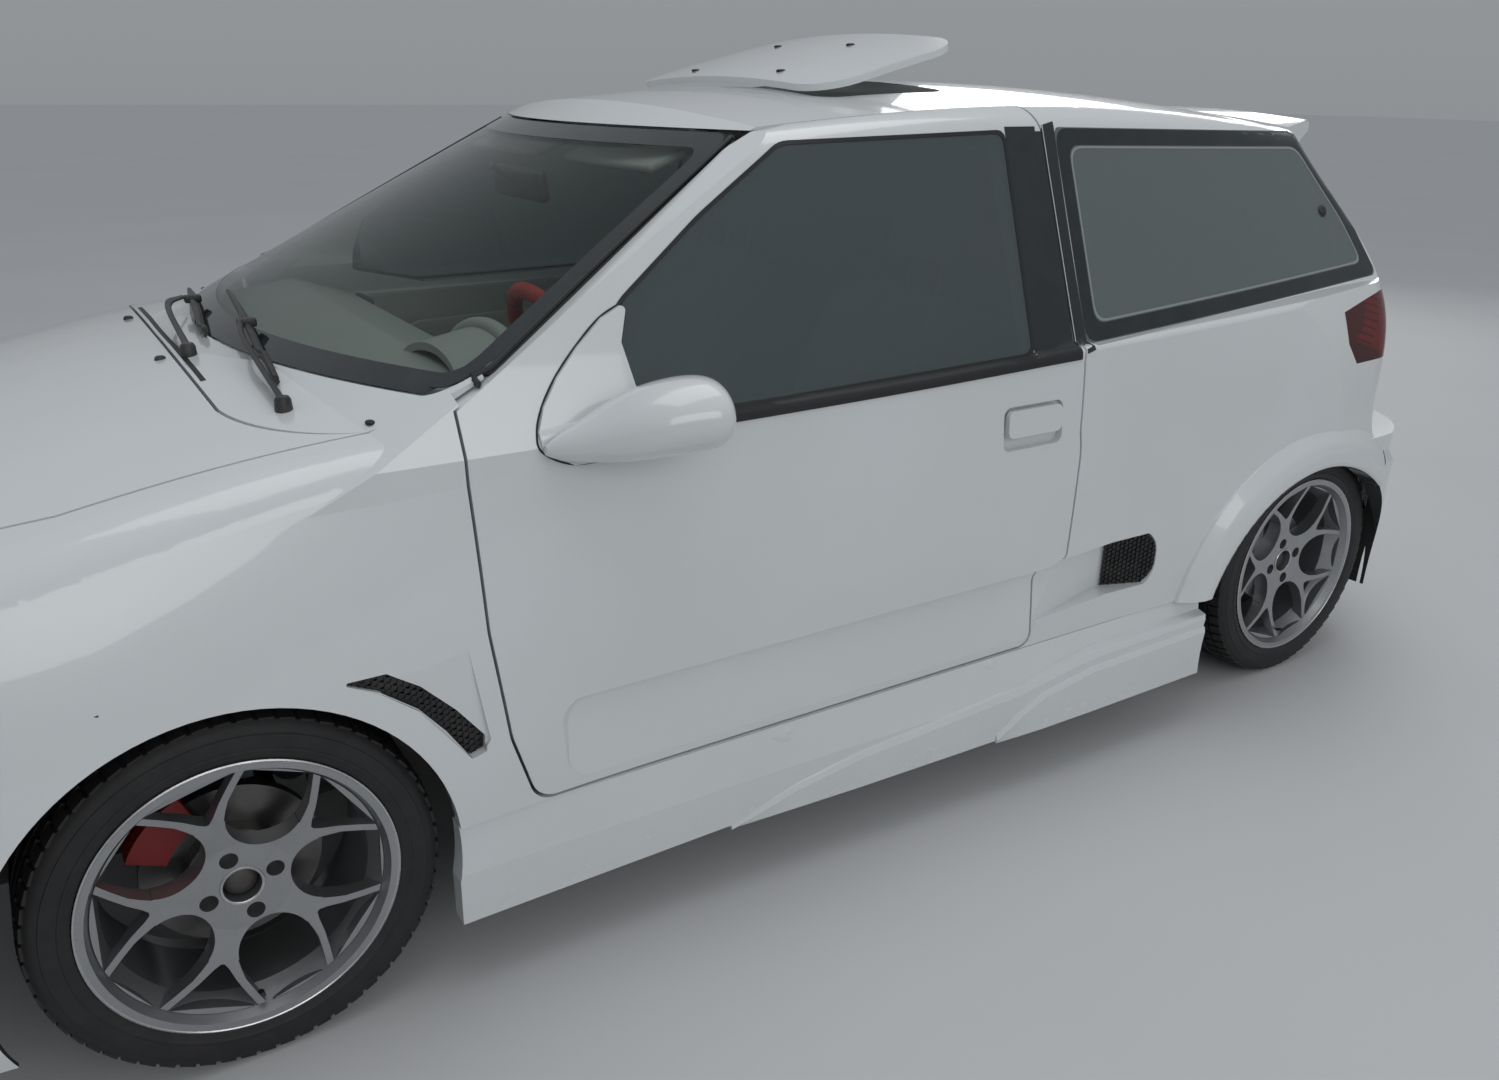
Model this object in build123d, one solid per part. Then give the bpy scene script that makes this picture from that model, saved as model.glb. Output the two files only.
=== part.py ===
from build123d import *
import os
from math import cos, radians, sin

# A three-door supermini hatchback with a wide body kit, lowered on 16-inch wheels.
# Millimetres. X runs forward, Y to the car's left, Z up. The origin is on the
# ground, under the middle of the car's box.

# Driving dimensions
wheelbase = 2450.0
front_axle_x = 1165.0
rear_axle_x = front_axle_x - wheelbase
wheel_radius = 285.0
wheel_y = 675.0
tyre_width = 204.0
rim_flange_radius = 220.0
door_gap = 5.0
sheet_depth = 22.0
door_depth = 62.0
frame_depth = 40.0
pillar_depth = 55.0
glass_depth = 5.0
proud_depth = 7.0
floor_z = 185.0
bumper_top_z = 572.0
bumper_shelf_z = 600.0

# Wheel arches in side view: centre x, centre z, lip radius
front_arch = (1178.0, 285.0, 320.0)
rear_arch = (-1240.0, 182.0, 378.0)
wheelhouse_radius = 345.0
rear_wheelhouse_radius = 312.0
wheelhouse_outer_y = 783.0

# Steering: lean of the axis and the point where it crosses the lower ball joint
kingpin_lean = 9.0
ball_joint = (front_axle_x, 630.0, 180.0)

# Door hinge in plan, and the sunroof
door_hinge = (762.0, 800.0)
sunroof_front_x = -75.0
sunroof_length = 370.0
sunroof_half_width = 385.0
sunroof_angle = 12.0

# Lower body, cross-sections along the car:
# x, foot half-width, flank half-width, shoulder half-width, belt z, crown z, shoulder radius
lower_table = (
    (1910.0, 770.0, 788.0, 705.0, 700.0, 790.0, 70.0),
    (1500.0, 798.0, 812.0, 733.0, 795.0, 882.0, 90.0),
    (1165.0, 808.0, 828.0, 742.0, 866.0, 944.0, 90.0),
    (790.0, 797.0, 801.0, 755.0, 906.0, 982.0, 45.0),
    (300.0, 790.0, 796.0, 771.0, 896.0, 970.0, 12.0),
    (-450.0, 790.0, 796.0, 771.0, 912.0, 975.0, 12.0),
    (-900.0, 800.0, 806.0, 766.0, 928.0, 985.0, 14.0),
    (-1285.0, 815.0, 828.0, 757.0, 944.0, 995.0, 16.0),
    (-1600.0, 798.0, 812.0, 735.0, 952.0, 1000.0, 16.0),
    (-1910.0, 770.0, 790.0, 712.0, 958.0, 1005.0, 16.0),
)
lower_foot_z = 150.0
lower_flank_z = 520.0

# Cabin, cross-sections along the car:
# x, foot half-width, rail half-width, rail z, crown z
cabin_table = (
    (1060.0, 762.0, 610.0, 1250.0, 1290.0),
    (250.0, 761.0, 590.0, 1296.0, 1342.0),
    (-350.0, 760.0, 572.0, 1338.0, 1386.0),
    (-900.0, 754.0, 566.0, 1328.0, 1374.0),
    (-1300.0, 738.0, 556.0, 1292.0, 1336.0),
    (-1910.0, 712.0, 540.0, 1225.0, 1260.0),
)
cabin_foot_z = 880.0
rail_radius = 62.0

# Windscreen: base and head on the centre line, and how far it has swept back at the sides
screen_base = (1016.0, 952.0)
screen_head = (300.0, 1304.0)
screen_sweep = 265.0

# Plan outlines of nose, tail and rear bumper:
# z, x at the centre, x where the end meets the side, half-width there
nose_table = (
    (100.0, 1885.0, 1640.0, 822.0),
    (572.0, 1872.0, 1630.0, 824.0),
    (700.0, 1815.0, 1580.0, 812.0),
    (800.0, 1700.0, 1480.0, 800.0),
    (870.0, 1540.0, 1330.0, 800.0),
    (1020.0, 1200.0, 980.0, 800.0),
)
tail_table = (
    (560.0, -1780.0, -1500.0, 812.0),
    (760.0, -1765.0, -1500.0, 782.0),
    (930.0, -1720.0, -1552.0, 724.0),
    (1110.0, -1605.0, -1460.0, 644.0),
    (1290.0, -1450.0, -1330.0, 562.0),
    (1460.0, -1295.0, -1200.0, 490.0),
)
bumper_table = (
    (90.0, -1885.0, -1575.0, 812.0),
    (610.0, -1885.0, -1575.0, 820.0),
)
# Corner radii in plan
nose_round = 110.0
tail_round = 140.0
bumper_round = 300.0

# Spokes, seen from outside: five forks, one of them 15 degrees off the vertical
fork_angles = tuple(105.0 - 72.0 * n for n in range(5))

os.makedirs("parts", exist_ok=True)


def save(node, *solids):
    """Write one node, whose solids stay separate bodies."""
    pieces = [solid for item in solids for solid in item.solids()]
    shape = pieces[0] if len(pieces) == 1 else Compound(children=pieces)
    export_step(shape, f"parts/{node}.step")
    print(f"{node}: {len(pieces)} solid(s), {sum(p.volume for p in pieces) / 1e6:.2f} litres")


def main_solid(shape):
    """The largest solid of a cut panel, without the chips beside it."""
    return max(shape.solids(), key=lambda solid: solid.volume)


def mirrored(shape):
    return mirror(shape, about=Plane.XZ)


def both(shape):
    """The left piece and its mirror image."""
    return [shape, mirrored(shape)]


def block(x0, x1, y0, y1, z0, z1):
    corner = Pos((x0 + x1) / 2, (y0 + y1) / 2, (z0 + z1) / 2)
    return corner * Box(x1 - x0, y1 - y0, z1 - z0)


def side_prism(points, y0, y1, radius=0.0):
    """An outline given as x, z points, extruded across the car from y0 to y1."""
    outline = Polyline(*[(x, 0, z) for x, z in points], close=True)
    face = make_face(outline)
    if radius:
        face = fillet(face.vertices(), radius)
    return extrude(Pos(0, y0, 0) * face, amount=y1 - y0, dir=(0, 1, 0))


def across(x, z, radius, y0, y1):
    """A cylinder whose axis runs across the car."""
    turned = Pos(x, (y0 + y1) / 2, z) * Rot(90, 0, 0)
    return turned * Cylinder(radius, y1 - y0)


def lower_section(row, skin):
    x, foot, flank, shoulder, belt, crown, radius = row
    foot, flank, shoulder = foot - skin, flank - skin, shoulder - skin
    belt, crown = belt - skin, crown - skin
    foot_z = lower_foot_z if skin == 0 else lower_foot_z - 60
    edges = [
        Line((x, -foot, foot_z), (x, foot, foot_z)),
        ThreePointArc((x, foot, foot_z), (x, flank, lower_flank_z), (x, shoulder, belt)),
        ThreePointArc((x, shoulder, belt), (x, 0, crown), (x, -shoulder, belt)),
        ThreePointArc((x, -shoulder, belt), (x, -flank, lower_flank_z), (x, -foot, foot_z)),
    ]
    face = make_face(edges)
    corners = [v for v in face.vertices() if abs(v.Z - belt) < 1]
    return fillet(corners, max(radius - skin / 2, 6.0))


def cabin_section(row, skin):
    x, foot, rail, rail_z, crown = row
    foot, rail = foot - skin, rail - skin * 0.9
    rail_z, crown = rail_z - skin, crown - skin
    edges = [
        Line((x, -foot, cabin_foot_z - 60), (x, foot, cabin_foot_z - 60)),
        Line((x, foot, cabin_foot_z - 60), (x, foot, cabin_foot_z)),
        Line((x, foot, cabin_foot_z), (x, rail, rail_z)),
        ThreePointArc((x, rail, rail_z), (x, 0, crown), (x, -rail, rail_z)),
        Line((x, -rail, rail_z), (x, -foot, cabin_foot_z)),
        Line((x, -foot, cabin_foot_z), (x, -foot, cabin_foot_z - 60)),
    ]
    face = make_face(edges)
    corners = [v for v in face.vertices() if abs(v.Z - rail_z) < 1]
    return fillet(corners, max(rail_radius - skin / 2, 20.0))


def end_limit(table, skin, sign, corner_round):
    """The space behind the nose, or ahead of the tail, less a skin."""
    sections = []
    for z, tip, corner, half in table:
        tip, corner, half = tip - sign * skin, corner - sign * skin, half - skin * 0.6
        back, back_half = -sign * 2400.0, 1100.0
        edges = [
            Line((back, back_half, z), (corner, half, z)),
            ThreePointArc((corner, half, z), (tip, 0, z), (corner, -half, z)),
            Line((corner, -half, z), (back, -back_half, z)),
            Line((back, -back_half, z), (back, back_half, z)),
        ]
        face = make_face(edges)
        shoulders = [v for v in face.vertices() if abs(v.X - corner) < 1]
        sections.append(fillet(shoulders, corner_round))
    return loft(sections)


def screen_limit(skin):
    """The space behind the windscreen's surface, less a skin."""
    sections = []
    slope = (screen_base[0] - screen_head[0]) / (screen_head[1] - screen_base[1])
    for y, back in ((-800.0, screen_sweep), (0.0, 0.0), (800.0, screen_sweep)):
        low_x = screen_base[0] - back + slope * 250 - skin * 2.2
        high_x = screen_head[0] - back - slope * 250 - skin * 2.2
        low_z, high_z = screen_base[1] - 250, screen_head[1] + 250
        points = [(-2300, y, low_z), (low_x, y, low_z), (high_x, y, high_z), (-2300, y, high_z)]
        sections.append(make_face(Polyline(*points, close=True)))
    return loft(sections)


def cabin_form(skin):
    """The closed outer form of the cabin, less a skin."""
    cabin = loft([cabin_section(row, skin) for row in cabin_table])
    return (cabin & screen_limit(skin)) & end_limit(tail_table, skin, -1, tail_round)


def hull(skin=0.0, cabin_skin=None):
    """The car's closed outer form, or the same form a wall's depth further in."""
    cabin_skin = skin if cabin_skin is None else cabin_skin
    lower = loft([lower_section(row, skin) for row in lower_table])
    lower = lower & end_limit(nose_table, skin, 1, nose_round)
    bumper = block(-2400, 2400, -1100, 1100, 0, bumper_shelf_z)
    bumper = bumper & end_limit(bumper_table, skin, -1, bumper_round)
    lower = lower & (end_limit(tail_table, skin, -1, tail_round) + bumper)
    return lower + cabin_form(cabin_skin)


def front_prism(points, x0, x1, radius=0.0):
    """An outline given as y, z points, extruded along the car from x0 to x1."""
    face = make_face(Polyline(*[(0, y, z) for y, z in points], close=True))
    if radius:
        face = fillet(face.vertices(), radius)
    return extrude(Pos(x0, 0, 0) * face, amount=x1 - x0, dir=(1, 0, 0))


def plan_prism(points, z0, z1, radius=0.0):
    """An outline given as x, y points, extruded upwards from z0 to z1."""
    face = make_face(Polyline(*[(x, y, 0) for x, y in points], close=True))
    if radius:
        face = fillet(face.vertices(), radius)
    return extrude(Pos(0, 0, z0) * face, amount=z1 - z0, dir=(0, 0, 1))


# Left door outline on the skin: x, z, gap direction in x, gap direction in z,
# how far the edge leans forward for each millimetre of depth, and the corner's radius
door_table = (
    (792.0, 944.0, 1.0, 0.3, 0.0, 0.0),
    (785.0, 620.0, 1.0, 0.0, 0.0, 200.0),
    (764.0, 440.0, 1.0, -0.2, 0.0, 120.0),
    (728.0, 318.0, 0.7, -1.0, 0.0, 42.0),
    (-346.0, 318.0, -1.0, -1.0, 0.12, 30.0),
    (-352.0, 464.0, -1.0, 0.0, 0.12, 24.0),
    (-428.0, 492.0, -1.0, -0.5, 0.12, 14.0),
    (-447.0, 720.0, -1.0, 0.0, 0.12, 300.0),
    (-440.0, 880.0, -1.0, 0.0, 0.26, 40.0),
    (-458.0, 1300.0, -1.0, 0.0, 0.26, 0.0),
    (-440.0, 1346.0, -1.0, 1.0, 0.26, 0.0),
    (-240.0, 1344.0, 0.0, 1.0, 0.0, 0.0),
    (40.0, 1327.0, 0.0, 1.0, 0.0, 0.0),
    (188.0, 1303.0, 0.5, 1.0, 0.0, 0.0),
)


def rounded_face(points, rounds):
    """A flat face whose corners have a radius each, 0 for a sharp one."""
    face = make_face(Polyline(*points, close=True))
    for point, radius in zip(points, rounds):
        if radius:
            corner = min(face.vertices(), key=lambda v: (Vector(v) - Vector(point)).length)
            face = fillet(corner, radius)
    return face


def skin_y(z):
    """Half-width of the car's side at a height, for the lean of the door's edges."""
    if z < cabin_foot_z:
        return 795.0
    return cabin_table[1][1] - (z - cabin_foot_z) * 0.412


def door_cutter(gap):
    """The door's opening: its outline, widened by a gap, from outside to inside."""
    faces = []
    for y in (980.0, 380.0):
        points, rounds = [], []
        for x, z, out_x, out_z, lean, radius in door_table:
            shift = lean * (skin_y(z) - y)
            points.append((x + out_x * gap + shift, y, z + out_z * gap))
            rounds.append(radius)
        faces.append(rounded_face(points, rounds))
    return loft(faces, ruled=True)


# Shells of the car
outer = hull()
glass_shell = cabin_form(0) - cabin_form(glass_depth)
sheet_core = hull(sheet_depth)
sheet = outer - sheet_core
pillar_core = hull(sheet_depth + 6, sheet_depth + 6) - hull(door_depth, pillar_depth)
proud = hull(-proud_depth)
wall = outer - hull(door_depth, frame_depth)
left_half = block(-2000, 2000, 1, 1000, 0, 1600)
wall_left = wall & left_half
sheet_left = sheet & left_half
glass_left = glass_shell & left_half

# Wheel spaces
front_lip = across(*front_arch, 600, 1000)
rear_lip = across(*rear_arch, 600, 1000)
front_space = across(front_axle_x, wheel_radius, wheelhouse_radius, 380, wheelhouse_outer_y)
rear_space = across(rear_axle_x, wheel_radius, rear_wheelhouse_radius, 540, wheelhouse_outer_y)

# Windows, as openings in front or side view
screen_opening = front_prism(
    [(-722, 956), (722, 956), (516, 1302), (-516, 1302)], 120, 1300, 30)
rear_window_opening = front_prism(
    [(-500, 985), (500, 985), (470, 1275), (-470, 1275)], -2000, -1330, 45)
# The door's window: x, z and the corner's radius
window_table = ((548, 938, 12), (360, 893, 30), (-333, 906, 14), (-362, 1303, 16), (155, 1290, 110),
                (340, 1183, 300), (515, 1064, 25))
window_face = rounded_face([(x, 400, z) for x, z, _ in window_table], [row[2] for row in window_table])
door_window = extrude(window_face, amount=600, dir=(0, 1, 0))
quarter_window = side_prism(
    [(-475, 912), (-1538, 965), (-1462, 1110), (-1316, 1291), (-495, 1308)], 400, 1000, 14)

# Bonnet border in plan: rear corner, end of the rear arc, middle of the rear arc, side, front
bonnet_corner = (905.0, 676.0)
bonnet_rear_bend = (1012.0, 608.0)
bonnet_rear_end = (1070.0, 490.0)
bonnet_rear_x = 1085.0
bonnet_side = (1300.0, 655.0)
bonnet_nose = (1790.0, 520.0)
bonnet_front_x = 1715.0


def bonnet_cutter(gap):
    """The bonnet's opening. Its front edge leans forward, as the bonnet swings that way."""
    (cx, cy), (bx, by), (rx, ry) = bonnet_corner, bonnet_rear_bend, bonnet_rear_end
    (sx, sy), (nx, ny) = bonnet_side, bonnet_nose
    cx, bx, rx, middle_x = cx - 3.4 * gap, bx - 0.8 * gap, rx - gap, bonnet_rear_x - gap
    cy, by, ry = cy + gap, by - 0.7 * gap, ry - 0.3 * gap
    sy, ny = sy + gap, ny + gap
    edges = [
        ThreePointArc((cx, cy), (bx, by), (rx, ry)),
        ThreePointArc((rx, ry), (middle_x, 0), (rx, -ry)),
        ThreePointArc((rx, -ry), (bx, -by), (cx, -cy)),
        Polyline((cx, -cy), (sx, -sy), (nx, -ny), (nx, ny), (sx, sy), (cx, cy)),
    ]
    face = make_face(edges)
    prism = extrude(Pos(0, 0, 560) * face, amount=540, dir=(0, 0, 1))
    edge_x = bonnet_front_x + 2 * gap
    front = side_prism([(edge_x - 60, 560), (edge_x + 60, 1000), (600, 1000), (600, 560)], -900, 900)
    return prism & front


bonnet_gap = bonnet_cutter(door_gap)
bonnet = main_solid((sheet & bonnet_cutter(0)) - block(0, 1000, -900, 900, 0, 870))
save("bonnet", bonnet)

tailgate_half_width = 545.0
tail_edge_x = -1305.0
tailgate_zone = block(-2000, tail_edge_x, -tailgate_half_width, tailgate_half_width, 606, 1500)
tailgate = (wall & tailgate_zone) - rear_window_opening
save("tailgate", tailgate)
rear_window = (glass_shell & rear_window_opening & tailgate_zone)
save("rear_window", rear_window)

# Tail lamps on the rear corners, beside the tailgate
lamp_outline = [(551, 785), (551, 1200), (598, 1200), (690, 985), (715, 935), (900, 935), (900, 785)]
lamp_side = [(-1316, 903), (-1440, 926), (-1553, 945), (-1551, 968), (-1476, 1112), (-1396, 1215),
             (-2000, 1215), (-2000, 700), (-1352, 785), (-1322, 832)]
lamp_zone = front_prism(lamp_outline, -2000, -1300) & side_prism(lamp_side, 400, 1000)
save("tail_lamps", *both(wall_left & lamp_zone))

# Headlamps at the front corners
headlamp_zone = plan_prism([(1500, 790), (1530, 480), (1900, 380), (1900, 900), (1500, 900)], 606, 742)
save("headlamps", *both((wall_left & headlamp_zone) - bonnet_gap))

# Roof
roof_half_width = 536.0
roof_zone = block(-1300, 700, -roof_half_width, roof_half_width, 1200, 1500)
sunroof_rear_x = sunroof_front_x - sunroof_length
opening_inset = 25.0
sunroof_opening = plan_prism(
    [(sunroof_front_x - opening_inset, sunroof_half_width - opening_inset),
     (sunroof_rear_x + opening_inset, sunroof_half_width - opening_inset),
     (sunroof_rear_x + opening_inset, -sunroof_half_width + opening_inset),
     (sunroof_front_x - opening_inset, -sunroof_half_width + opening_inset)], 1200, 1500, 50)
roof = (wall & roof_zone) - screen_opening - sunroof_opening
roof = main_solid(roof - block(0, 700, -roof_half_width, roof_half_width, 1100, 1306))
save("roof_panel", roof)
save("windscreen", glass_shell & screen_opening)

# Hollow along the door and quarter: the skin tilted in about the hollow's lower edge
hollow_foot_z = 331.0
hollow_tilt = 6.4
hollow_inner = [(628, 464), (648, 440), (640, 352), (610, 345), (-345, 345), (-362, 372), (-560, 394),
                (-600, 394), (-600, 488), (-560, 484), (-362, 468)]
hollow_outer = [(672, 482), (700, 462), (690, 336), (640, 326), (-345, 326), (-362, 352), (-560, 378),
                (-600, 378), (-600, 500), (-560, 497), (-362, 482)]
hollow = loft([rounded_face([(x, 770, z) for x, z in hollow_inner], [25, 40, 40, 10] + [0] * 7),
               rounded_face([(x, 815, z) for x, z in hollow_outer], [25, 40, 40, 10] + [0] * 7)], ruled=True)
tilted_skin = outer.rotate(Axis((0, 795, hollow_foot_z), (1, 0, 0)), hollow_tilt)
hollow = hollow - tilted_skin

# Scoop at the hollow's rear end, and the mesh plate across its mouth
scoop_points = [(-352, 362), (-566, 380), (-708, 378), (-708, 496), (-566, 496), (-352, 482)]
scoop_outline = side_prism(scoop_points, 700, 1000)
scoop_end = side_prism([(-340, 340), (-708, 376), (-708, 498), (-340, 520)], 690, 1010, 56)
scoop_space = plan_prism([(-330, 796), (-600, 752), (-720, 752), (-720, 1000), (-330, 1000)], 300, 600)
scoop_outline = scoop_outline & scoop_end
scoop = scoop_outline & scoop_space
scoop_plate = scoop & plan_prism([(-594, 752), (-600, 752), (-712, 793), (-712, 799), (-594, 758)], 300, 600)

# Pocket and flap of the door handle
pocket_floor_y = 770.0
handle_pocket = side_prism([(-236, 738), (-390, 738), (-390, 822), (-236, 822)], pocket_floor_y, 1000, 16)
handle_points = [(-243, 764), (-383, 764), (-383, 816), (-243, 816)]
handle_flap = side_prism(handle_points, pocket_floor_y + 8, 1000, 14) & proud
handle_root = block(-372, -352, pocket_floor_y, pocket_floor_y + 9, 774, 806)

# Door, its glass, and the body side around it
doors = door_cutter(0)
screen_gap = front_prism([(-729, 951), (729, 951), (523, 1307), (-523, 1307)], 120, 1300, 30)
door = (wall_left & doors) - door_window - screen_gap
door = door - block(-700, 300, 0, roof_half_width + door_gap, 1200, 1500)
pillar_points = [(815, 925), (815, 960), (195, 1310), (100, 1310), (130, 1290), (740, 925)]
pillar_zone = side_prism(pillar_points, 300, 1000)
door = main_solid(door - (sheet_core & pillar_zone) - hollow - handle_pocket)
save("door_left", door)
save("door_right", mirrored(door))
handle = handle_flap + handle_root
save("door_handle_left", handle)
save("door_handle_right", mirrored(handle))
door_glass = glass_left & door_window & doors
save("door_glass_left", door_glass)
save("door_glass_right", mirrored(door_glass))

sill_y = 768.0
door_gap_cut = door_cutter(door_gap)
body_side = wall_left - door_gap_cut - quarter_window - lamp_zone
body_side = body_side - block(788, 2000, 0, 1000, 0, 1600) - screen_opening
beside_roof = block(-1300, 700, 0, roof_half_width, 1200, 1500)
beside_tailgate = block(-2000, -1300, 0, tailgate_half_width + 5, 600, 1500)
body_side = body_side - beside_roof - beside_tailgate
body_side = body_side - block(-2000, -1480, 0, 1000, 0, bumper_shelf_z)
body_side = body_side - rear_lip - rear_space - front_lip - front_space
body_side = body_side - block(-900, 860, sill_y, 1000, 0, 312)
body_side = body_side - block(-2000, 860, 0, 1000, 0, 160)
pillar = pillar_core & left_half & pillar_zone
# The door's front edge swings in past the pillar's foot
pillar = pillar - screen_opening - Pos(*door_hinge, 900) * Cylinder(74, 200)
body_side = body_side + pillar
# Flare round the rear arch, a band turned about the arch's centre
flare_profile = [(370, 760), (370, 826), (384, 838), (408, 839), (436, 831), (468, 812), (478, 760)]
flare_face = rounded_face([(r, y, 0) for r, y in flare_profile], [0, 8, 14, 30, 60, 0, 0])
flare = Pos(rear_arch[0], 0, rear_arch[1]) * revolve(flare_face, Axis.Y)
body_side = body_side + (flare & block(-1480, 0, 700, 1000, 312, 1000))
body_side = main_solid(body_side - rear_lip - rear_space - hollow - scoop)
save("body_sides", *both(body_side))
quarter_glass = (glass_left & quarter_window) - beside_roof - beside_tailgate
save("quarter_windows", *both(quarter_glass))

# Bumpers, wings and skirts
nose_band = block(1500, 2000, -378, 378, bumper_top_z - 1, 800)
intake = front_prism([(-420, 190), (420, 190), (360, 330), (-360, 330)], 1500, 2000, 30)
side_intake = front_prism([(470, 200), (690, 215), (700, 320), (500, 330)], 1500, 2000, 25)
grille_slot = front_prism([(-330, 615), (330, 615), (300, 680), (-300, 680)], 1500, 2000, 20)
front_low = sheet & block(1200, 2000, -1000, 1000, 0, bumper_top_z)
front_bumper = front_low + (sheet & nose_band)
front_bumper = front_bumper - bonnet_gap - intake - side_intake - mirrored(side_intake)
front_bumper = front_bumper - grille_slot - block(1200, 2000, -1000, 1000, 0, 160)
for shape in (front_lip, front_space):
    front_bumper = front_bumper - shape - mirrored(shape)
save("front_bumper", front_bumper)

scuttle_zone = plan_prism(
    [(740, 714), (880, 692), (1000, 640), (1100, 560), (1100, -560), (1000, -640), (880, -692), (740, -714)],
    880, 1100)
wing = sheet_left & block(788, 1900, 300, 1000, 160, 1100)
wing = wing - block(1200, 2000, 0, 1000, 0, bumper_top_z) - bonnet_gap
wing = wing - headlamp_zone - front_lip - front_space
wing = wing - block(788, 870, 600, 1000, 0, 312) - block(1400, 2000, 0, 385, 0, 1100)
wing = wing - scuttle_zone - screen_opening - door_gap_cut
# A sunk triangle behind the wheel, with a curved slot along its lower edge
wing_vent = side_prism([(1012, 602), (945, 600), (898, 566), (848, 512), (806, 455), (808, 432), (832, 427),
                        (866, 482), (905, 532), (955, 573)], 700, 1000, 3)
wing_sink = side_prism([(1016, 604), (822, 602), (800, 450), (815, 430), (832, 427), (905, 530), (955, 571)],
                       700, 1000, 4)
wing_sink = wing_sink & plan_prism([(780, 794), (1040, 813), (1040, 1000), (780, 1000)], 300, 700)
wing = main_solid(wing - wing_vent - wing_sink)
save("front_wings", *both(wing))
vent_plate = wing_vent & plan_prism([(780, 782), (1040, 800), (1040, 804), (780, 786)], 300, 700)
save("side_vents", *both(vent_plate), *both(scoop_plate))
scuttle = (sheet & scuttle_zone) - bonnet_gap - screen_opening - door_gap_cut - mirrored(door_gap_cut)
save("scuttle_panel", scuttle)

bumper_zone = block(-2000, -1480, -1000, 1000, 160, bumper_shelf_z)
shelf_z = bumper_shelf_z - sheet_depth
shelf_width = 45.0
rear_bumper = (outer & bumper_zone) - (sheet_core & block(-2000, 0, -1000, 1000, 0, shelf_z))
shelf_space = end_limit(tail_table, shelf_width, -1, tail_round)
rear_bumper = rear_bumper - (shelf_space & block(-2000, 0, -1000, 1000, shelf_z - 1, 700))
tail_pipe_spot = (-1770.0, -330.0, 225.0)
pipe_notch = Pos(*tail_pipe_spot) * Rot(0, 90, 0) * Cylinder(57, 400)
flare_end = end_limit(bumper_table, -14, -1, bumper_round)
bumper_flare = flare & block(-2000, -1485, 700, 1000, 160, 590) & flare_end
rear_bumper = rear_bumper + bumper_flare + mirrored(bumper_flare)
rear_bumper = rear_bumper - pipe_notch - block(-2000, -1700, -387, -273, 0, 225)
for shape in (rear_lip, rear_space):
    rear_bumper = rear_bumper - shape - mirrored(shape)
save("rear_bumper", main_solid(rear_bumper))

# Side skirts: x, outer half-width at the foot, foot z, outer half-width at mid height
skirt_table = (
    (866.0, 802.0, 132.0, 806.0),
    (380.0, 806.0, 142.0, 808.0),
    (-200.0, 810.0, 136.0, 816.0),
    (-905.0, 818.0, 130.0, 824.0),
)
skirt_sections = []
for x, foot_y, foot_z, mid_y in skirt_table:
    corners = [(sill_y, foot_z), (foot_y, foot_z), (mid_y, 225.0), (798.0, 311.0), (sill_y, 311.0)]
    skirt_sections.append(make_face(Polyline(*[(x, y, z) for y, z in corners], close=True)))
skirt = loft(skirt_sections, ruled=True) - front_lip - rear_lip
# The lower blade starts part way along and rises towards the rear wheel
first_blade = ((370, 148, 808), (230, 188, 815), (90, 212, 821), (-150, 229, 827), (-310, 239, 830),
               (-430, 259, 832), (-520, 271, 833), (-905, 276, 834))
second_blade = ((-250, 150, 832), (-310, 190, 836), (-370, 219, 839), (-510, 242, 841), (-905, 249, 841))


def blade(rows, foot_z):
    """A wave along the skirt: x, height of its upper edge, half-width there."""
    sections = []
    for x, top_z, edge_y in rows:
        corners = [(790, foot_z), (edge_y - 3, foot_z), (edge_y, top_z - 14), (edge_y - 4, top_z - 3),
                   (790, top_z + 6)]
        sections.append(make_face(Polyline(*[(x, y, z) for y, z in corners], close=True)))
    return loft(sections, ruled=True)


skirt = skirt + ((blade(first_blade, 134) + blade(second_blade, 130)) - rear_lip)
save("side_skirts", *both(main_solid(skirt)))

# Floor, bulkhead and tunnel
floor_half = 700.0
floor_depth = 16.0
floor_line = [(905, 868), (905, 520), (770, floor_z), (-640, floor_z), (-700, 330), (-1790, 330)]
floor_path = [(x - floor_depth * 0.7, z + floor_depth) for x, z in reversed(floor_line)]
floor_pan = side_prism(floor_line + floor_path, -floor_half, floor_half)
tunnel_outer = front_prism([(-150, floor_z + 4), (-95, 330), (95, 330), (150, floor_z + 4)], -668, 835)
tunnel_inner = front_prism([(-136, floor_z - 40), (-82, 314), (82, 314), (136, floor_z - 40)], -720, 900)
floor_pan = (floor_pan + tunnel_outer) - tunnel_inner
for x, radius, y in ((front_axle_x, wheelhouse_radius, 394), (rear_axle_x, rear_wheelhouse_radius, 539)):
    space = across(x, wheel_radius, radius + 6, y, 800)
    floor_pan = floor_pan - space - mirrored(space)
floor_pan = floor_pan - block(-2000, -1670, -1000, 1000, 0, 1000)
save("floor_and_bulkhead", floor_pan)

# Wheel housings: an arched liner and an inner wall, the front ones with a strut tower
tower_x, tower_y, tower_radius = front_axle_x, 545.0, 86.0


def housing(x, radius, inner_y, outer_y, low_z):
    liner = across(x, wheel_radius, radius + 5, inner_y - 5, outer_y)
    liner = liner - across(x, wheel_radius, radius, inner_y, outer_y + 5)
    return liner & block(x - 500, x + 500, inner_y - 10, outer_y, low_z, 900)


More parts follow.
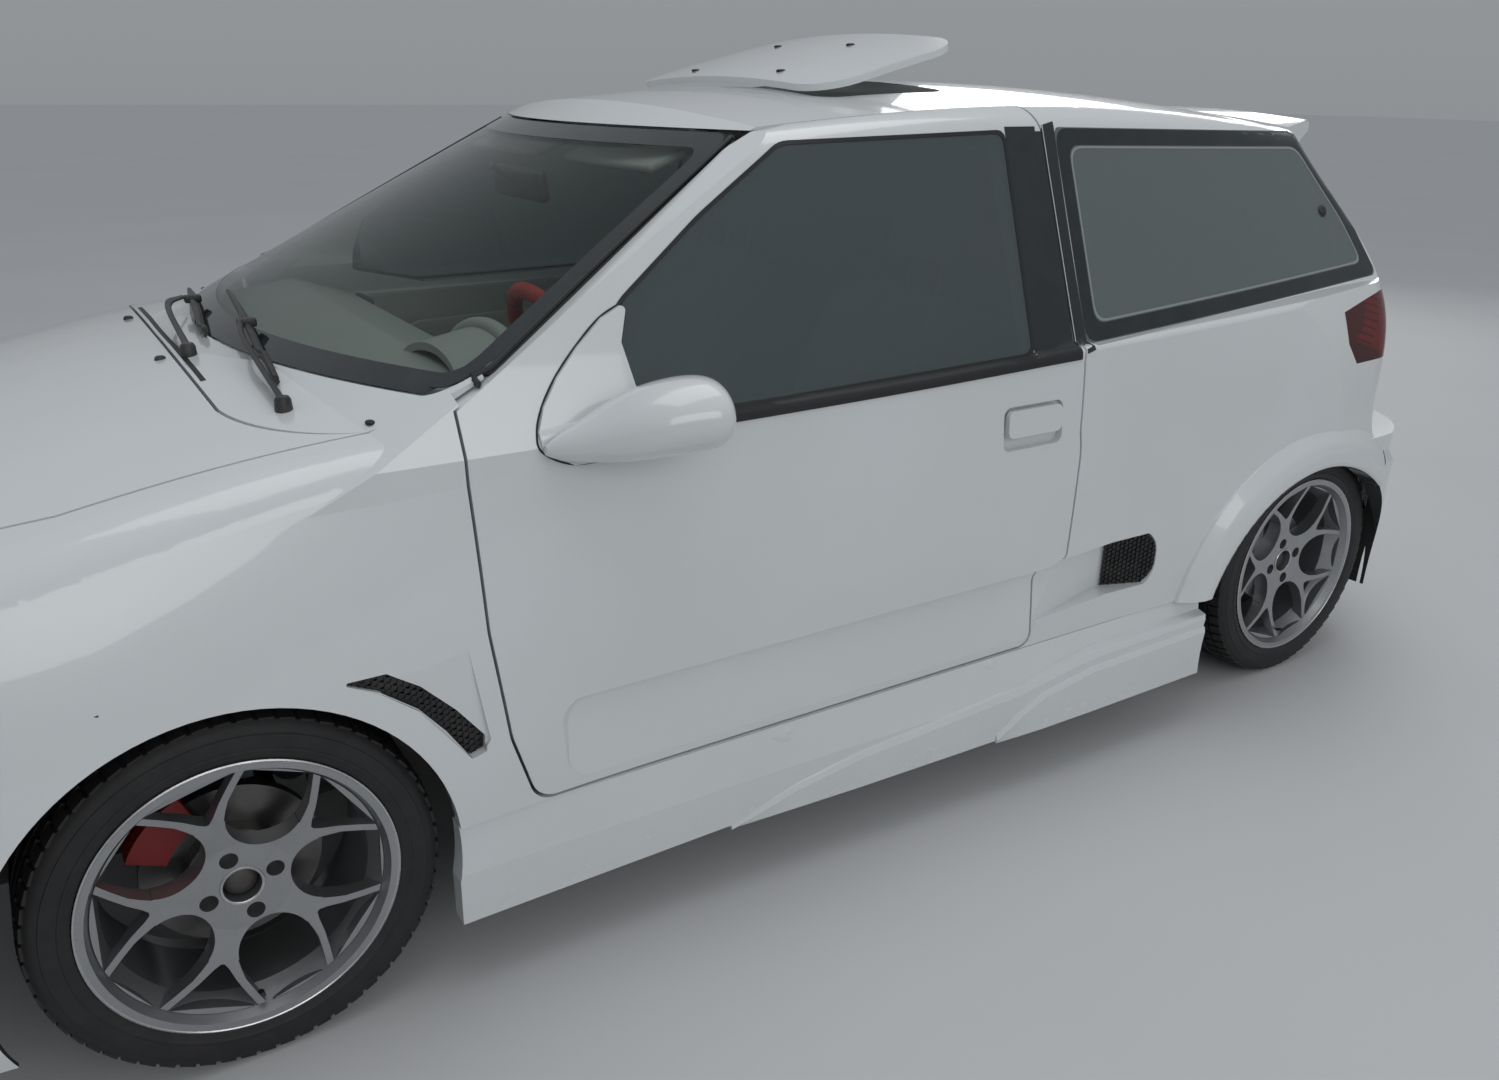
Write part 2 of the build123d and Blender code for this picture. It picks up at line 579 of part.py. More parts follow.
tower = Pos(tower_x, tower_y, 720) * Cylinder(tower_radius, 240)
tower_hollow = Pos(tower_x, tower_y, 700) * Cylinder(tower_radius - 5, 268)
front_housing = housing(front_axle_x, wheelhouse_radius, 400, 765, 190)
front_housing = front_housing + (tower - across(front_axle_x, wheel_radius, wheelhouse_radius, 300, 800))
front_housing = front_housing - (tower_hollow & block(0, 2000, 0, 1000, 560, 834))
front_housing = front_housing - block(1000, 1330, 380, 402, 0, 420) - block(0, 906, 300, 1000, 0, 1000)
save("front_wheel_housings", *both(main_solid(front_housing - block(0, 2000, 0, 701, 840, 2000))))
rear_housing = housing(rear_axle_x, rear_wheelhouse_radius, 545, 735, 150)
rear_housing = rear_housing - block(-1420, -1150, 530, 552, 0, 420)
save("rear_wheel_housings", *both(main_solid(rear_housing)))

# Wheels, drawn for the left front one with its centre at the origin and Y outboard
hub_radius = 72.0
spoke_depth = 26.0
bore_radius = 27.0
bolt_circle, bolt_angle, bolt_hole = 49.0, 15.0, 13.0
hole_centre, hole_radius = 120.0, 53.0
wide_opening = ((120, 26.2), (136, 24.0), (152, 21.8), (176, 17.4), (200, 13.8))
fork_opening = ((124, 1.2), (132, 4.6), (152, 9.6), (176, 14.8), (200, 18.9))


def polar(radius, angle):
    """A point in side view, seen from outside the left wheel."""
    return (-radius * cos(radians(angle)), radius * sin(radians(angle)))


def rim():
    """Barrel and forked spokes, about the Y axis."""
    half = tyre_width / 2
    section = [
        (194, -half + 2), (rim_flange_radius, -half + 2), (rim_flange_radius, -half + 8),
        (204, -half + 14), (203, -half + 40), (192, -half + 52), (192, half - 50), (203, half - 36),
        (204, half - 12), (rim_flange_radius, half - 8), (rim_flange_radius - 2, half - 3),
        (206, half - 4), (196, half - 26), (184, half - 52), (184, -half + 42), (190, -half + 30),
    ]
    profile = make_face(Polyline(*[(r, y, 0) for r, y in section], close=True))
    barrel = revolve(profile, Axis.Y)
    dish = [(0, 62), (hub_radius, 64), (198, 84), (198, 84 - spoke_depth + 6), (hub_radius, 26), (0, 26)]
    spider = revolve(make_face(Polyline(*[(r, y, 0) for r, y in dish], close=True)), Axis.Y)
    for centre in fork_angles:
        gap = centre - 36.0
        hole_x, hole_z = polar(hole_centre, gap)
        spider = spider - across(hole_x, hole_z, hole_radius, -200, 200) - spoke_opening(wide_opening, gap)
        spider = spider - spoke_opening(fork_opening, centre)
    spider = spider - across(0, 0, bore_radius, -200, 200)
    for n in range(4):
        x, z = polar(bolt_circle, bolt_angle + 90 * n)
        spider = spider - across(x, z, bolt_hole, -200, 200)
    return barrel + spider


def spoke_opening(rows, centre):
    """An opening between spokes, given by its half-angle at some radii from the hub outwards."""
    near = [polar(r, centre - angle) for r, angle in reversed(rows)]
    far = [polar(r, centre + angle) for r, angle in rows]
    outline = Polyline(*[(x, -100, z) for x, z in near + far], close=True)
    return extrude(make_face(outline), amount=300, dir=(0, 1, 0))


def tyre():
    half = tyre_width / 2
    section = [
        (221, -half + 9), (221, -half + 5), (240, -half), (262, -half + 3), (278, -half + 14),
        (wheel_radius, -half + 32), (wheel_radius, half - 32), (278, half - 14), (262, half - 3),
        (240, half), (221, half - 5), (221, half - 9), (204.5, half - 15), (204.5, half - 34),
        (214, half - 30), (262, half - 22), (274, half - 40), (274, -half + 40), (262, -half + 22),
        (214, -half + 30), (204.5, -half + 34), (204.5, -half + 15),
    ]
    return revolve(make_face(Polyline(*[(r, y, 0) for r, y in section], close=True)), Axis.Y)


disc_radius = 128.0
disc = across(0, 0, disc_radius, -23, -3) + across(0, 0, 70, -10, 26)
disc = disc - across(0, 0, 30, -60, 60) - across(0, 0, 62, -60, 18)
drum = across(0, 0, 112, -50, 26) - across(0, 0, 105, -60, 18) - across(0, 0, 30, -60, 60)
front_left = Pos(front_axle_x, wheel_y, wheel_radius)
rear_left = Pos(rear_axle_x, wheel_y, wheel_radius)
rim_solid, tyre_solid = rim(), tyre()
for node, solid, place in (
    ("rim_front", rim_solid, front_left), ("tyre_front", tyre_solid, front_left),
    ("brake_disc_front", disc, front_left), ("rim_rear", rim_solid + drum, rear_left),
    ("tyre_rear", tyre_solid, rear_left),
):
    placed = place * solid
    save(f"{node}_left", placed)
    save(f"{node}_right", mirrored(placed))

# Knuckle with hub carrier, caliper and strut, turning about the leaning steering axis
lean = radians(kingpin_lean)


def on_kingpin(z):
    """Half-width of the steering axis at a height."""
    return ball_joint[1] - (z - ball_joint[2]) * sin(lean) / cos(lean)


carrier = across(front_axle_x, wheel_radius, 46, 585, 646)
carrier = carrier + side_prism([(1145, 170), (1185, 170), (1200, 285), (1180, 430), (1150, 430), (1130, 285)],
                               586, 618)
ball_boss = Pos(front_axle_x, ball_joint[1], ball_joint[2] + 3) * Cylinder(16, 26)
carrier = carrier + (ball_boss - block(0, 2000, 646, 900, 0, 600))
strut_top = (front_axle_x, on_kingpin(820.0), 820.0)
strut_base = (front_axle_x, 540.0, 330.0)
strut_path = Line(strut_base, strut_top)
strut = sweep(Plane(strut_base, z_dir=strut_path % 0) * Circle(24), path=strut_path)
perch_z = 610.0
perch = Pos(front_axle_x, on_kingpin(perch_z) + 2, perch_z) * Cylinder(62, 8)
spring = Pos(front_axle_x, on_kingpin(700) + 1, 700) * (Cylinder(56, 172) - Cylinder(44, 172))
clamp = side_prism([(1140, 320), (1190, 320), (1190, 430), (1140, 430)], 540, 600)
knuckle = carrier + clamp + strut + perch + spring
caliper_angle = 135.0
caliper = across(front_axle_x, wheel_radius, 152, 628, 690) - across(front_axle_x, wheel_radius, 96, 600, 700)
caliper_sector = side_prism(
    [(front_axle_x, wheel_radius), (front_axle_x + 210, wheel_radius + 90),
     (front_axle_x + 90, wheel_radius + 210)], 600, 700)
caliper = (caliper & caliper_sector) - across(front_axle_x, wheel_radius, disc_radius + 6, 646, 678)
caliper_arm = side_prism([(1185, 330), (1290, 375), (1262, 410), (1180, 400)], 606, 634)
knuckle = knuckle + caliper + caliper_arm
save("knuckle_front_left", main_solid(knuckle))
save("knuckle_front_right", mirrored(main_solid(knuckle)))

# Front subframe with its lower arms, steering rack and anti-roll bar
subframe = block(1040, 1330, -330, 330, 142, 190) - block(1100, 1270, -230, 230, 100, 300)
arm = plan_prism([(1060, 325), (1290, 325), (1190, 642), (1140, 642)], 142, 162, 8)
arm = arm - plan_prism([(1105, 370), (1230, 370), (1178, 520), (1155, 520)], 100, 200, 6)
subframe = subframe + arm + mirrored(arm)
rack = across(1020, 262, 24, -330, 330) + across(1020, 262, 34, 300, 388) + across(1020, 262, 34, -388, -300)
rack_feet = block(1000, 1060, -240, -190, 160, 262) + block(1000, 1060, 190, 240, 160, 262)
save("front_subframe", subframe + rack + rack_feet)

# Rear axle: a cross beam, trailing arms and stub axles
beam = across(-1150, 254, 32, -480, 480)
trailing = side_prism([(-930, 270), (-930, 215), (-1180, 205), (-1330, 250), (-1330, 320), (-1180, 300)],
                      470, 515, 10)
stub = across(rear_axle_x, wheel_radius, 34, 505, 690)
coil = Pos(-1215, 492, 312) * (Cylinder(46, 34) - Cylinder(34, 40))
rear_axle = beam + trailing + mirrored(trailing) + stub + mirrored(stub)
save("rear_axle", rear_axle + coil + mirrored(coil))

# Engine block, fuel tank and exhaust
engine = block(1075, 1470, -300, 320, 215, 780)
save("engine", engine)
save("fuel_tank", fillet(block(-1050, -715, -430, 430, 214, 322).edges(), 18))
silencer = Pos(-1620, -250, 235) * Rot(0, 90, 0) * Cylinder(75, 260)
tail_pipe = Pos(*tail_pipe_spot) * Rot(0, 90, 0) * (Cylinder(48, 220) - Cylinder(44, 240))
pipe_path = FilletPolyline((-1500, -250, 235), (-1400, -250, 235), (-1340, -60, 178),
                           (900, -60, 178), radius=40)
pipe = sweep(Plane(pipe_path @ 0, z_dir=pipe_path % 0) * Circle(24), path=pipe_path)
exhaust = silencer + pipe + (tail_pipe - silencer)
save("exhaust", exhaust)

# Interior: dashboard with column, steering wheel, seats
dash = side_prism([(890, 520), (890, 905), (700, 935), (560, 890), (540, 800), (620, 640), (700, 520)],
                  -660, 660, 25)
dash = dash - front_prism([(-110, 400), (110, 400), (110, 640), (-110, 640)], 400, 700, 10)
wheel_centre = (452.0, 375.0, 880.0)
column_tilt = 25.0
column = Pos(*wheel_centre) * Rot(0, 90 + column_tilt, 0) * Pos(0, 0, 160) * Cylinder(30, 230)
save("dashboard", dash + column)
steering = Torus(175, 15) + Cylinder(42, 34) + (Box(340, 30, 12) & Cylinder(172, 40)) \
    + (Pos(0, 86, 0) * Box(30, 172, 12))
steering = Pos(*wheel_centre) * Rot(0, 90 + column_tilt, 0) * steering
save("steering_wheel", steering)

seat_y = 375.0


def front_seat():
    base = side_prism([(300, 250), (-120, 250), (-160, 330), (-150, 400), (250, 440), (330, 400)],
                      seat_y - 215, seat_y + 215, 40)
    back = side_prism([(-60, 330), (-190, 330), (-430, 980), (-380, 1010), (-310, 1000), (-90, 420)],
                      seat_y - 212, seat_y + 212, 35)
    head = side_prism([(-355, 1020), (-345, 1150), (-400, 1160), (-420, 1030)],
                      seat_y - 130, seat_y + 130, 20)
    posts = Pos(-385, seat_y, 1010) * Box(14, 90, 60)
    rails = block(-100, 260, seat_y - 200, seat_y - 170, 201, 260) + \
        block(-100, 260, seat_y + 170, seat_y + 200, 201, 260)
    return base + back + posts + head + rails


seat = front_seat()
save("front_seats", *both(seat))
bench = side_prism([(-700, 350), (-1130, 350), (-1130, 520), (-730, 560), (-680, 500)], -540, 540, 30)
bench_back = side_prism([(-1100, 500), (-1240, 500), (-1330, 880), (-1280, 900), (-1230, 890)], -540, 540, 20)
save("rear_seat", bench + bench_back)

# Sunroof panel, raised at its rear, turning about its front edge
sunroof_lift = 8.0
sunroof_depth = 13.0
sunroof_hinge_z = 1388.0
sunroof_zone = plan_prism(
    [(sunroof_front_x, sunroof_half_width), (sunroof_rear_x, sunroof_half_width),
     (sunroof_rear_x, -sunroof_half_width), (sunroof_front_x, -sunroof_half_width)], 1300, 1500, 96)
roof_form = cabin_form(0)
closed_panel = (Pos(0, 0, sunroof_lift + sunroof_depth) * roof_form & sunroof_zone) \
    - Pos(0, 0, sunroof_lift) * roof_form
sunroof_axis = Axis((sunroof_front_x, 0, sunroof_hinge_z), (0, 1, 0))
sunroof_panel = main_solid(closed_panel).rotate(sunroof_axis, sunroof_angle)
save("sunroof_panel", sunroof_panel)

# Roof spoiler on the head of the tailgate
spoiler_sections = []
for y, front_x, rear_x, rear_z in ((-520.0, -1335.0, -1415.0, 1302.0), (0.0, -1335.0, -1500.0, 1322.0),
                                   (520.0, -1335.0, -1415.0, 1302.0)):
    front_z = 1331.0 if y == 0 else 1294.0
    points = [(front_x, y, front_z - 14), (front_x, y, front_z + 4), (rear_x + 16, y, rear_z + 12),
              (rear_x + 4, y, rear_z + 8), (rear_x, y, rear_z - 3), (rear_x + 3, y, rear_z - 14),
              (rear_x + 14, y, rear_z - 22), (front_x - 45, y, front_z - 36)]
    spoiler_sections.append(make_face(Polyline(*points, close=True)))
spoiler = loft(spoiler_sections) - cabin_form(0)
save("roof_spoiler", main_solid(spoiler))

# Door mirror: a sail on the door and window, and a teardrop head that grows out of its foot
sail_outline = [(498, 1068), (545, 1048), (594, 1011), (635, 973), (665, 935), (680, 902), (677, 874),
                (630, 849), (556, 849), (505, 880), (510, 950), (520, 1012)]
sail = side_prism(sail_outline, 640, 850, 6)
head_table = ((678, 780, 880, 7, 7), (640, 800, 890, 30, 26), (590, 826, 907, 56, 43),
              (540, 848, 922, 68, 53),
              (490, 860, 928, 72, 56), (452, 864, 928, 67, 52), (440, 864, 928, 57, 44))
head_sections = [Plane((x, y, z), x_dir=(0, 1, 0), z_dir=(1, 0, 0)) * Ellipse(half_y, half_z)
                 for x, y, z, half_y, half_z in head_table]
mirror_left = ((sail & proud) + loft(head_sections)) - outer
save("door_mirror_left", main_solid(mirror_left))
save("door_mirror_right", mirrored(main_solid(mirror_left)))
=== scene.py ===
from math import cos, pi, radians, sin, sqrt

import bmesh
import bpy
from mathutils import Matrix, Vector
from mathutils.bvhtree import BVHTree


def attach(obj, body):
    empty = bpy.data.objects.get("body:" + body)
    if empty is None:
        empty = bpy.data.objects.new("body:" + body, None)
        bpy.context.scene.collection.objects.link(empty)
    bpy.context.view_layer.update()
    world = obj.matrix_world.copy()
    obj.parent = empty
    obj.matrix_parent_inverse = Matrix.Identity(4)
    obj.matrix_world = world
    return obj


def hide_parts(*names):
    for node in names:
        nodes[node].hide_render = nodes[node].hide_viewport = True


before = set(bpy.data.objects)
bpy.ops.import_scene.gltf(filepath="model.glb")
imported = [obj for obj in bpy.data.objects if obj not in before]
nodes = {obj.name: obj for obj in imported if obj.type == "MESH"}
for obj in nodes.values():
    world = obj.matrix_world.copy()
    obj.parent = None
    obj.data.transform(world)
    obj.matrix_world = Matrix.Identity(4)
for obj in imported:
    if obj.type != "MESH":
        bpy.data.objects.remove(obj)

scene = bpy.context.scene
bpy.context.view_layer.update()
print("frame loaded:", len(nodes), "nodes")

# Camera and studio

cameraSetup = {
    "place": (1.328, 2.338, 1.387),
    "forward": (-0.50546, -0.78409, -0.36015),
    "rollDegrees": 0.76,
    "lens": 28.65, "sensor": 36, "clip": (0.05, 100),
}


def addCamera(setup):
    forward = Vector(setup["forward"]).normalized()
    right = forward.cross(Vector((0, 0, 1))).normalized()
    up = right.cross(forward)
    roll = radians(setup["rollDegrees"])
    rolledRight = right * cos(roll) + up * sin(roll)
    rolledUp = up * cos(roll) - right * sin(roll)
    data = bpy.data.cameras.new("photoCamera")
    data.lens, data.sensor_width = setup["lens"], setup["sensor"]
    data.clip_start, data.clip_end = setup["clip"]
    camera = bpy.data.objects.new("photoCamera", data)
    turn = Matrix((rolledRight, rolledUp, -forward)).transposed().to_4x4()
    camera.matrix_world = Matrix.Translation(setup["place"]) @ turn
    scene.collection.objects.link(camera)
    scene.camera = camera


addCamera(cameraSetup)

# Node-graph helpers


class Graph:
    # a material being built

    def __init__(self, name):
        self.material = bpy.data.materials.new(name)
        self.material.use_nodes = True
        self.tree = self.material.node_tree
        self.shader = self.tree.nodes["Principled BSDF"]
        self.output = self.tree.nodes["Material Output"]
        coords = self.tree.nodes.new("ShaderNodeTexCoord")
        self.place = coords.outputs["Object"]
        self.facing = coords.outputs["Normal"]

    def node(self, kind, **settings):
        made = self.tree.nodes.new(kind)
        for key, value in settings.items():
            setattr(made, key, value)
        return made

    def link(self, source, target):
        self.tree.links.new(source, target)

    def fill(self, socket, value):
        if isinstance(value, bpy.types.NodeSocket):
            self.link(value, socket)
        elif value is not None:
            socket.default_value = (*value, 1.0) if isinstance(value, tuple) else value

    def put(self, name, value):
        self.fill(self.shader.inputs[name], value)

    def texture(self, kind, output, values, source=None, **settings):
        made = self.node(kind, **settings)
        for name, value in values.items():
            made.inputs[name].default_value = value
        self.link(source or self.place, made.inputs["Vector"])
        return made.outputs[output]

    def stretched(self, scale):
        return self.texture("ShaderNodeMapping", "Vector", {"Scale": scale})

    def noise(self, scale, detail=4.0, roughness=0.55, source=None):
        values = {"Scale": scale, "Detail": detail, "Roughness": roughness}
        return self.texture("ShaderNodeTexNoise", "Fac", values, source)

    def cells(self, scale):
        return self.texture("ShaderNodeTexVoronoi", "Distance", {"Scale": scale})

    def waves(self, scale, direction):
        return self.texture("ShaderNodeTexWave", "Fac", {"Scale": scale}, bands_direction=direction)

    def between(self, fac, low, high, outLow=0.0, outHigh=1.0):
        made = self.node("ShaderNodeMapRange")
        self.link(fac, made.inputs["Value"])
        for name, value in (("From Min", low), ("From Max", high),
                            ("To Min", outLow), ("To Max", outHigh)):
            made.inputs[name].default_value = value
        return made.outputs["Result"]

    def maths(self, operation, a, b=None):
        made = self.node("ShaderNodeMath", operation=operation)
        for socket, value in zip(made.inputs, (a, b)):
            self.fill(socket, value)
        return made.outputs["Value"]

    def times(self, a, b):
        return self.maths("MULTIPLY", a, b)

    def plus(self, a, b):
        return self.maths("ADD", a, b)

    def mixed(self, fac, a, b):
        made = self.node("ShaderNodeMix", data_type="RGBA")
        for key, value in (("Factor", fac), (6, a), (7, b)):
            self.fill(made.inputs[key], value)
        return made.outputs[2]

    def axis(self, letter, source=None):
        split = self.node("ShaderNodeSeparateXYZ")
        self.link(source or self.place, split.inputs["Vector"])
        return split.outputs[letter]

    def reach(self, x, z):
        # distance from the cross line at X and Z
        along, above = self.maths("SUBTRACT", self.axis("X"), x), self.maths("SUBTRACT", self.axis("Z"), z)
        return self.maths("SQRT", self.plus(self.times(along, along), self.times(above, above)))

    def bumps(self, *layers):
        # layers of height, strength and distance in metres, one on another
        normal = None
        for height, strength, distance in layers:
            bump = self.node("ShaderNodeBump")
            bump.inputs["Strength"].default_value = strength
            bump.inputs["Distance"].default_value = distance
            self.link(height, bump.inputs["Height"])
            if normal:
                self.link(normal, bump.inputs["Normal"])
            normal = bump.outputs["Normal"]
        self.link(normal, self.shader.inputs["Normal"])


# Materials

paintLook = {
    "white": (0.70, 0.725, 0.735), "shade": (0.665, 0.69, 0.695),
    "dust": (0.42, 0.40, 0.37), "underseal": (0.028, 0.029, 0.030),
    "arches": (1.165, -1.285), "axleHeight": 0.285, "archReach": (0.40, 0.39),
    "roughness": 0.22, "coatRoughness": 0.035,
    "fillerScale": 3.2, "peelScale": 420.0,
}
knuckleLook = {
    "centre": (1.165, 0.285), "hubReach": (0.088, 0.092), "outerY": (0.6265, 0.6275),
    "iron": (0.11, 0.105, 0.10), "rust": (0.13, 0.07, 0.045), "red": (0.20, 0.010, 0.011),
}


def makePaint(look):
    g = Graph("whitePaint")
    clean = g.mixed(g.between(g.noise(1.7, 3), 0.35, 0.65), look["white"], look["shade"])
    low = g.between(g.axis("Z"), 0.30, 0.10)
    film = g.times(low, g.between(g.noise(26, 8, 0.7), 0.42, 0.85))
    specks = g.between(g.cells(95), 0.10, 0.03)
    film = g.maths("MAXIMUM", film, g.times(specks, g.times(low, 0.35)))
    dusted = g.mixed(g.times(film, 0.09), clean, look["dust"])
    # the inner faces round the arches and behind the bumpers are undersealed
    inward, endward = [g.times(g.axis(letter, g.facing), g.maths("SIGN", g.axis(letter))) for letter in "YX"]
    inside = g.maths("MAXIMUM", g.between(inward, -0.25, -0.35), g.between(endward, -0.45, -0.55))
    near = g.between(g.maths("ABSOLUTE", g.axis("X")), 1.44, 1.46)
    for x in look["arches"]:
        near = g.maths("MAXIMUM", near, g.between(g.reach(x, look["axleHeight"]), *look["archReach"]))
    inside = g.times(inside, g.times(g.between(g.axis("Z"), 0.64, 0.62), near))
    g.put("Base Color", g.mixed(inside, dusted, look["underseal"]))
    g.put("Roughness", g.plus(g.plus(g.times(film, 0.18), look["roughness"]), g.times(inside, 0.5)))
    g.put("Coat Weight", 1.0)
    g.put("Coat Roughness", look["coatRoughness"])
    g.put("Specular IOR Level", 0.5)
    g.bumps((g.noise(look["fillerScale"], 2), 0.25, 0.004), (g.noise(look["peelScale"], 2), 0.05, 0.0004))
    return g.material


def makePlastic(name, colour, roughness, grainScale, grain, dusty):
    g = Graph(name)
    dust = g.between(g.noise(14, 8, 0.7), 0.45, 0.8, 0.0, dusty)
    g.put("Base Color", g.mixed(dust, colour, (0.30, 0.29, 0.27)))
    g.put("Roughness", g.plus(g.times(dust, 0.6), roughness))
    g.bumps((g.cells(grainScale), grain, 0.0004))
    return g.material


def makeMetal(name, colour, roughness, metallic, spots=None, marks=0.15, brushed=None):
    g = Graph(name)
    wear = g.between(g.noise(30, 8, 0.7), 0.4, 0.75)
    tone = g.mixed(wear, colour, tuple(c * (1 - marks) for c in colour))
    if spots:
        tone = g.mixed(g.between(g.noise(11, 10, 0.75), 0.5, 0.66), tone, spots)
    g.put("Base Color", tone)
    g.put("Metallic", metallic)
    g.put("Roughness", g.plus(g.times(wear, 0.12), roughness))
    layers = [(g.noise(260, 4), 0.08, 0.0006)]
    if brushed:
        layers.append((g.noise(60, 6, 0.6, g.stretched(brushed)), 0.1, 0.0005))
    g.bumps(*layers)
    return g.material


def makeRubber(name, colour, roughness, dusty):
    g = Graph(name)
    dust = g.between(g.noise(22, 9, 0.7), 0.4, 0.85, 0.0, dusty)
    g.put("Base Color", g.mixed(dust, colour, (0.16, 0.15, 0.135)))
    g.put("Roughness", roughness)
    g.bumps((g.noise(650, 5), 0.3, 0.0005), (g.noise(60, 4), 0.15, 0.001))
    return g.material


def makeGlass(name, tint, opacity, body=(0.012, 0.014, 0.016)):
    # tinted glass: a glossy face over a see-through tint. The face is dark unless given a colour; the lighter
    # colours given to the side and rear glass are a painted reflection of the sky over the glass's tint
    g = Graph(name)
    smears = g.noise(9, 6, 0.6)
    g.put("Base Color", body)
    g.put("Roughness", g.between(smears, 0.3, 0.8, 0.012, 0.05))
    g.put("Specular IOR Level", 0.9)
    g.put("Coat Weight", 0.6)
    g.put("Coat Roughness", 0.01)
    clear = g.node("ShaderNodeBsdfTransparent")
    clear.inputs["Color"].default_value = (*tint, 1)
    slant = g.maths("POWER", g.node("ShaderNodeLayerWeight").outputs["Facing"], 4.5)
    share = g.between(slant, 0.0, 1.0, opacity, 1.0)
    mix = g.node("ShaderNodeMixShader")
    g.link(share, mix.inputs["Fac"])
    g.link(clear.outputs[0], mix.inputs[1])
    g.link(g.shader.outputs[0], mix.inputs[2])
    g.link(mix.outputs[0], g.output.inputs["Surface"])
    return g.material


def makeFabric(name, colour, second, threadScale):
    g = Graph(name)
    weave = g.times(g.waves(threadScale, "X"), g.waves(threadScale, "Z"))
    tone = g.mixed(g.noise(40, 6), colour, second)
    g.put("Base Color", g.mixed(g.times(weave, 0.4), tone, tuple(c * 0.6 for c in colour)))
    g.put("Roughness", 0.9)
    g.put("Sheen Weight", 0.3)
    g.put("Sheen Roughness", 0.5)
    g.bumps((weave, 0.4, 0.0008), (g.noise(8, 5), 0.3, 0.006))
    return g.material


def makeLeather(name, colour, roughness):
    g = Graph(name)
    wear = g.between(g.noise(18, 6), 0.4, 0.7)
    g.put("Base Color", g.mixed(wear, colour, tuple(c * 0.7 for c in colour)))
    g.put("Roughness", g.plus(g.times(wear, 0.15), roughness))
    g.bumps((g.cells(520), 0.35, 0.0006), (g.noise(24, 4), 0.2, 0.003))
    return g.material


def makeKnuckle(look):
    # cast iron, with red paint where the caliper stands proud of the hub carrier
    g = Graph("knuckleIron")
    outside = g.between(g.maths("ABSOLUTE", g.axis("Y")), *look["outerY"])
    red = g.times(g.between(g.reach(*look["centre"]), *look["hubReach"]), outside)
    wear = g.between(g.noise(30, 8, 0.7), 0.4, 0.75)
    iron = g.mixed(g.between(g.noise(11, 10, 0.75), 0.5, 0.66), look["iron"], look["rust"])
    g.put("Base Color", g.mixed(red, iron, look["red"]))
    g.put("Metallic", g.maths("SUBTRACT", 0.8, g.times(red, 0.8)))
    g.put("Roughness", g.plus(g.times(wear, 0.15), 0.42))
    g.bumps((g.noise(260, 4), 0.12, 0.0008))
    return g.material


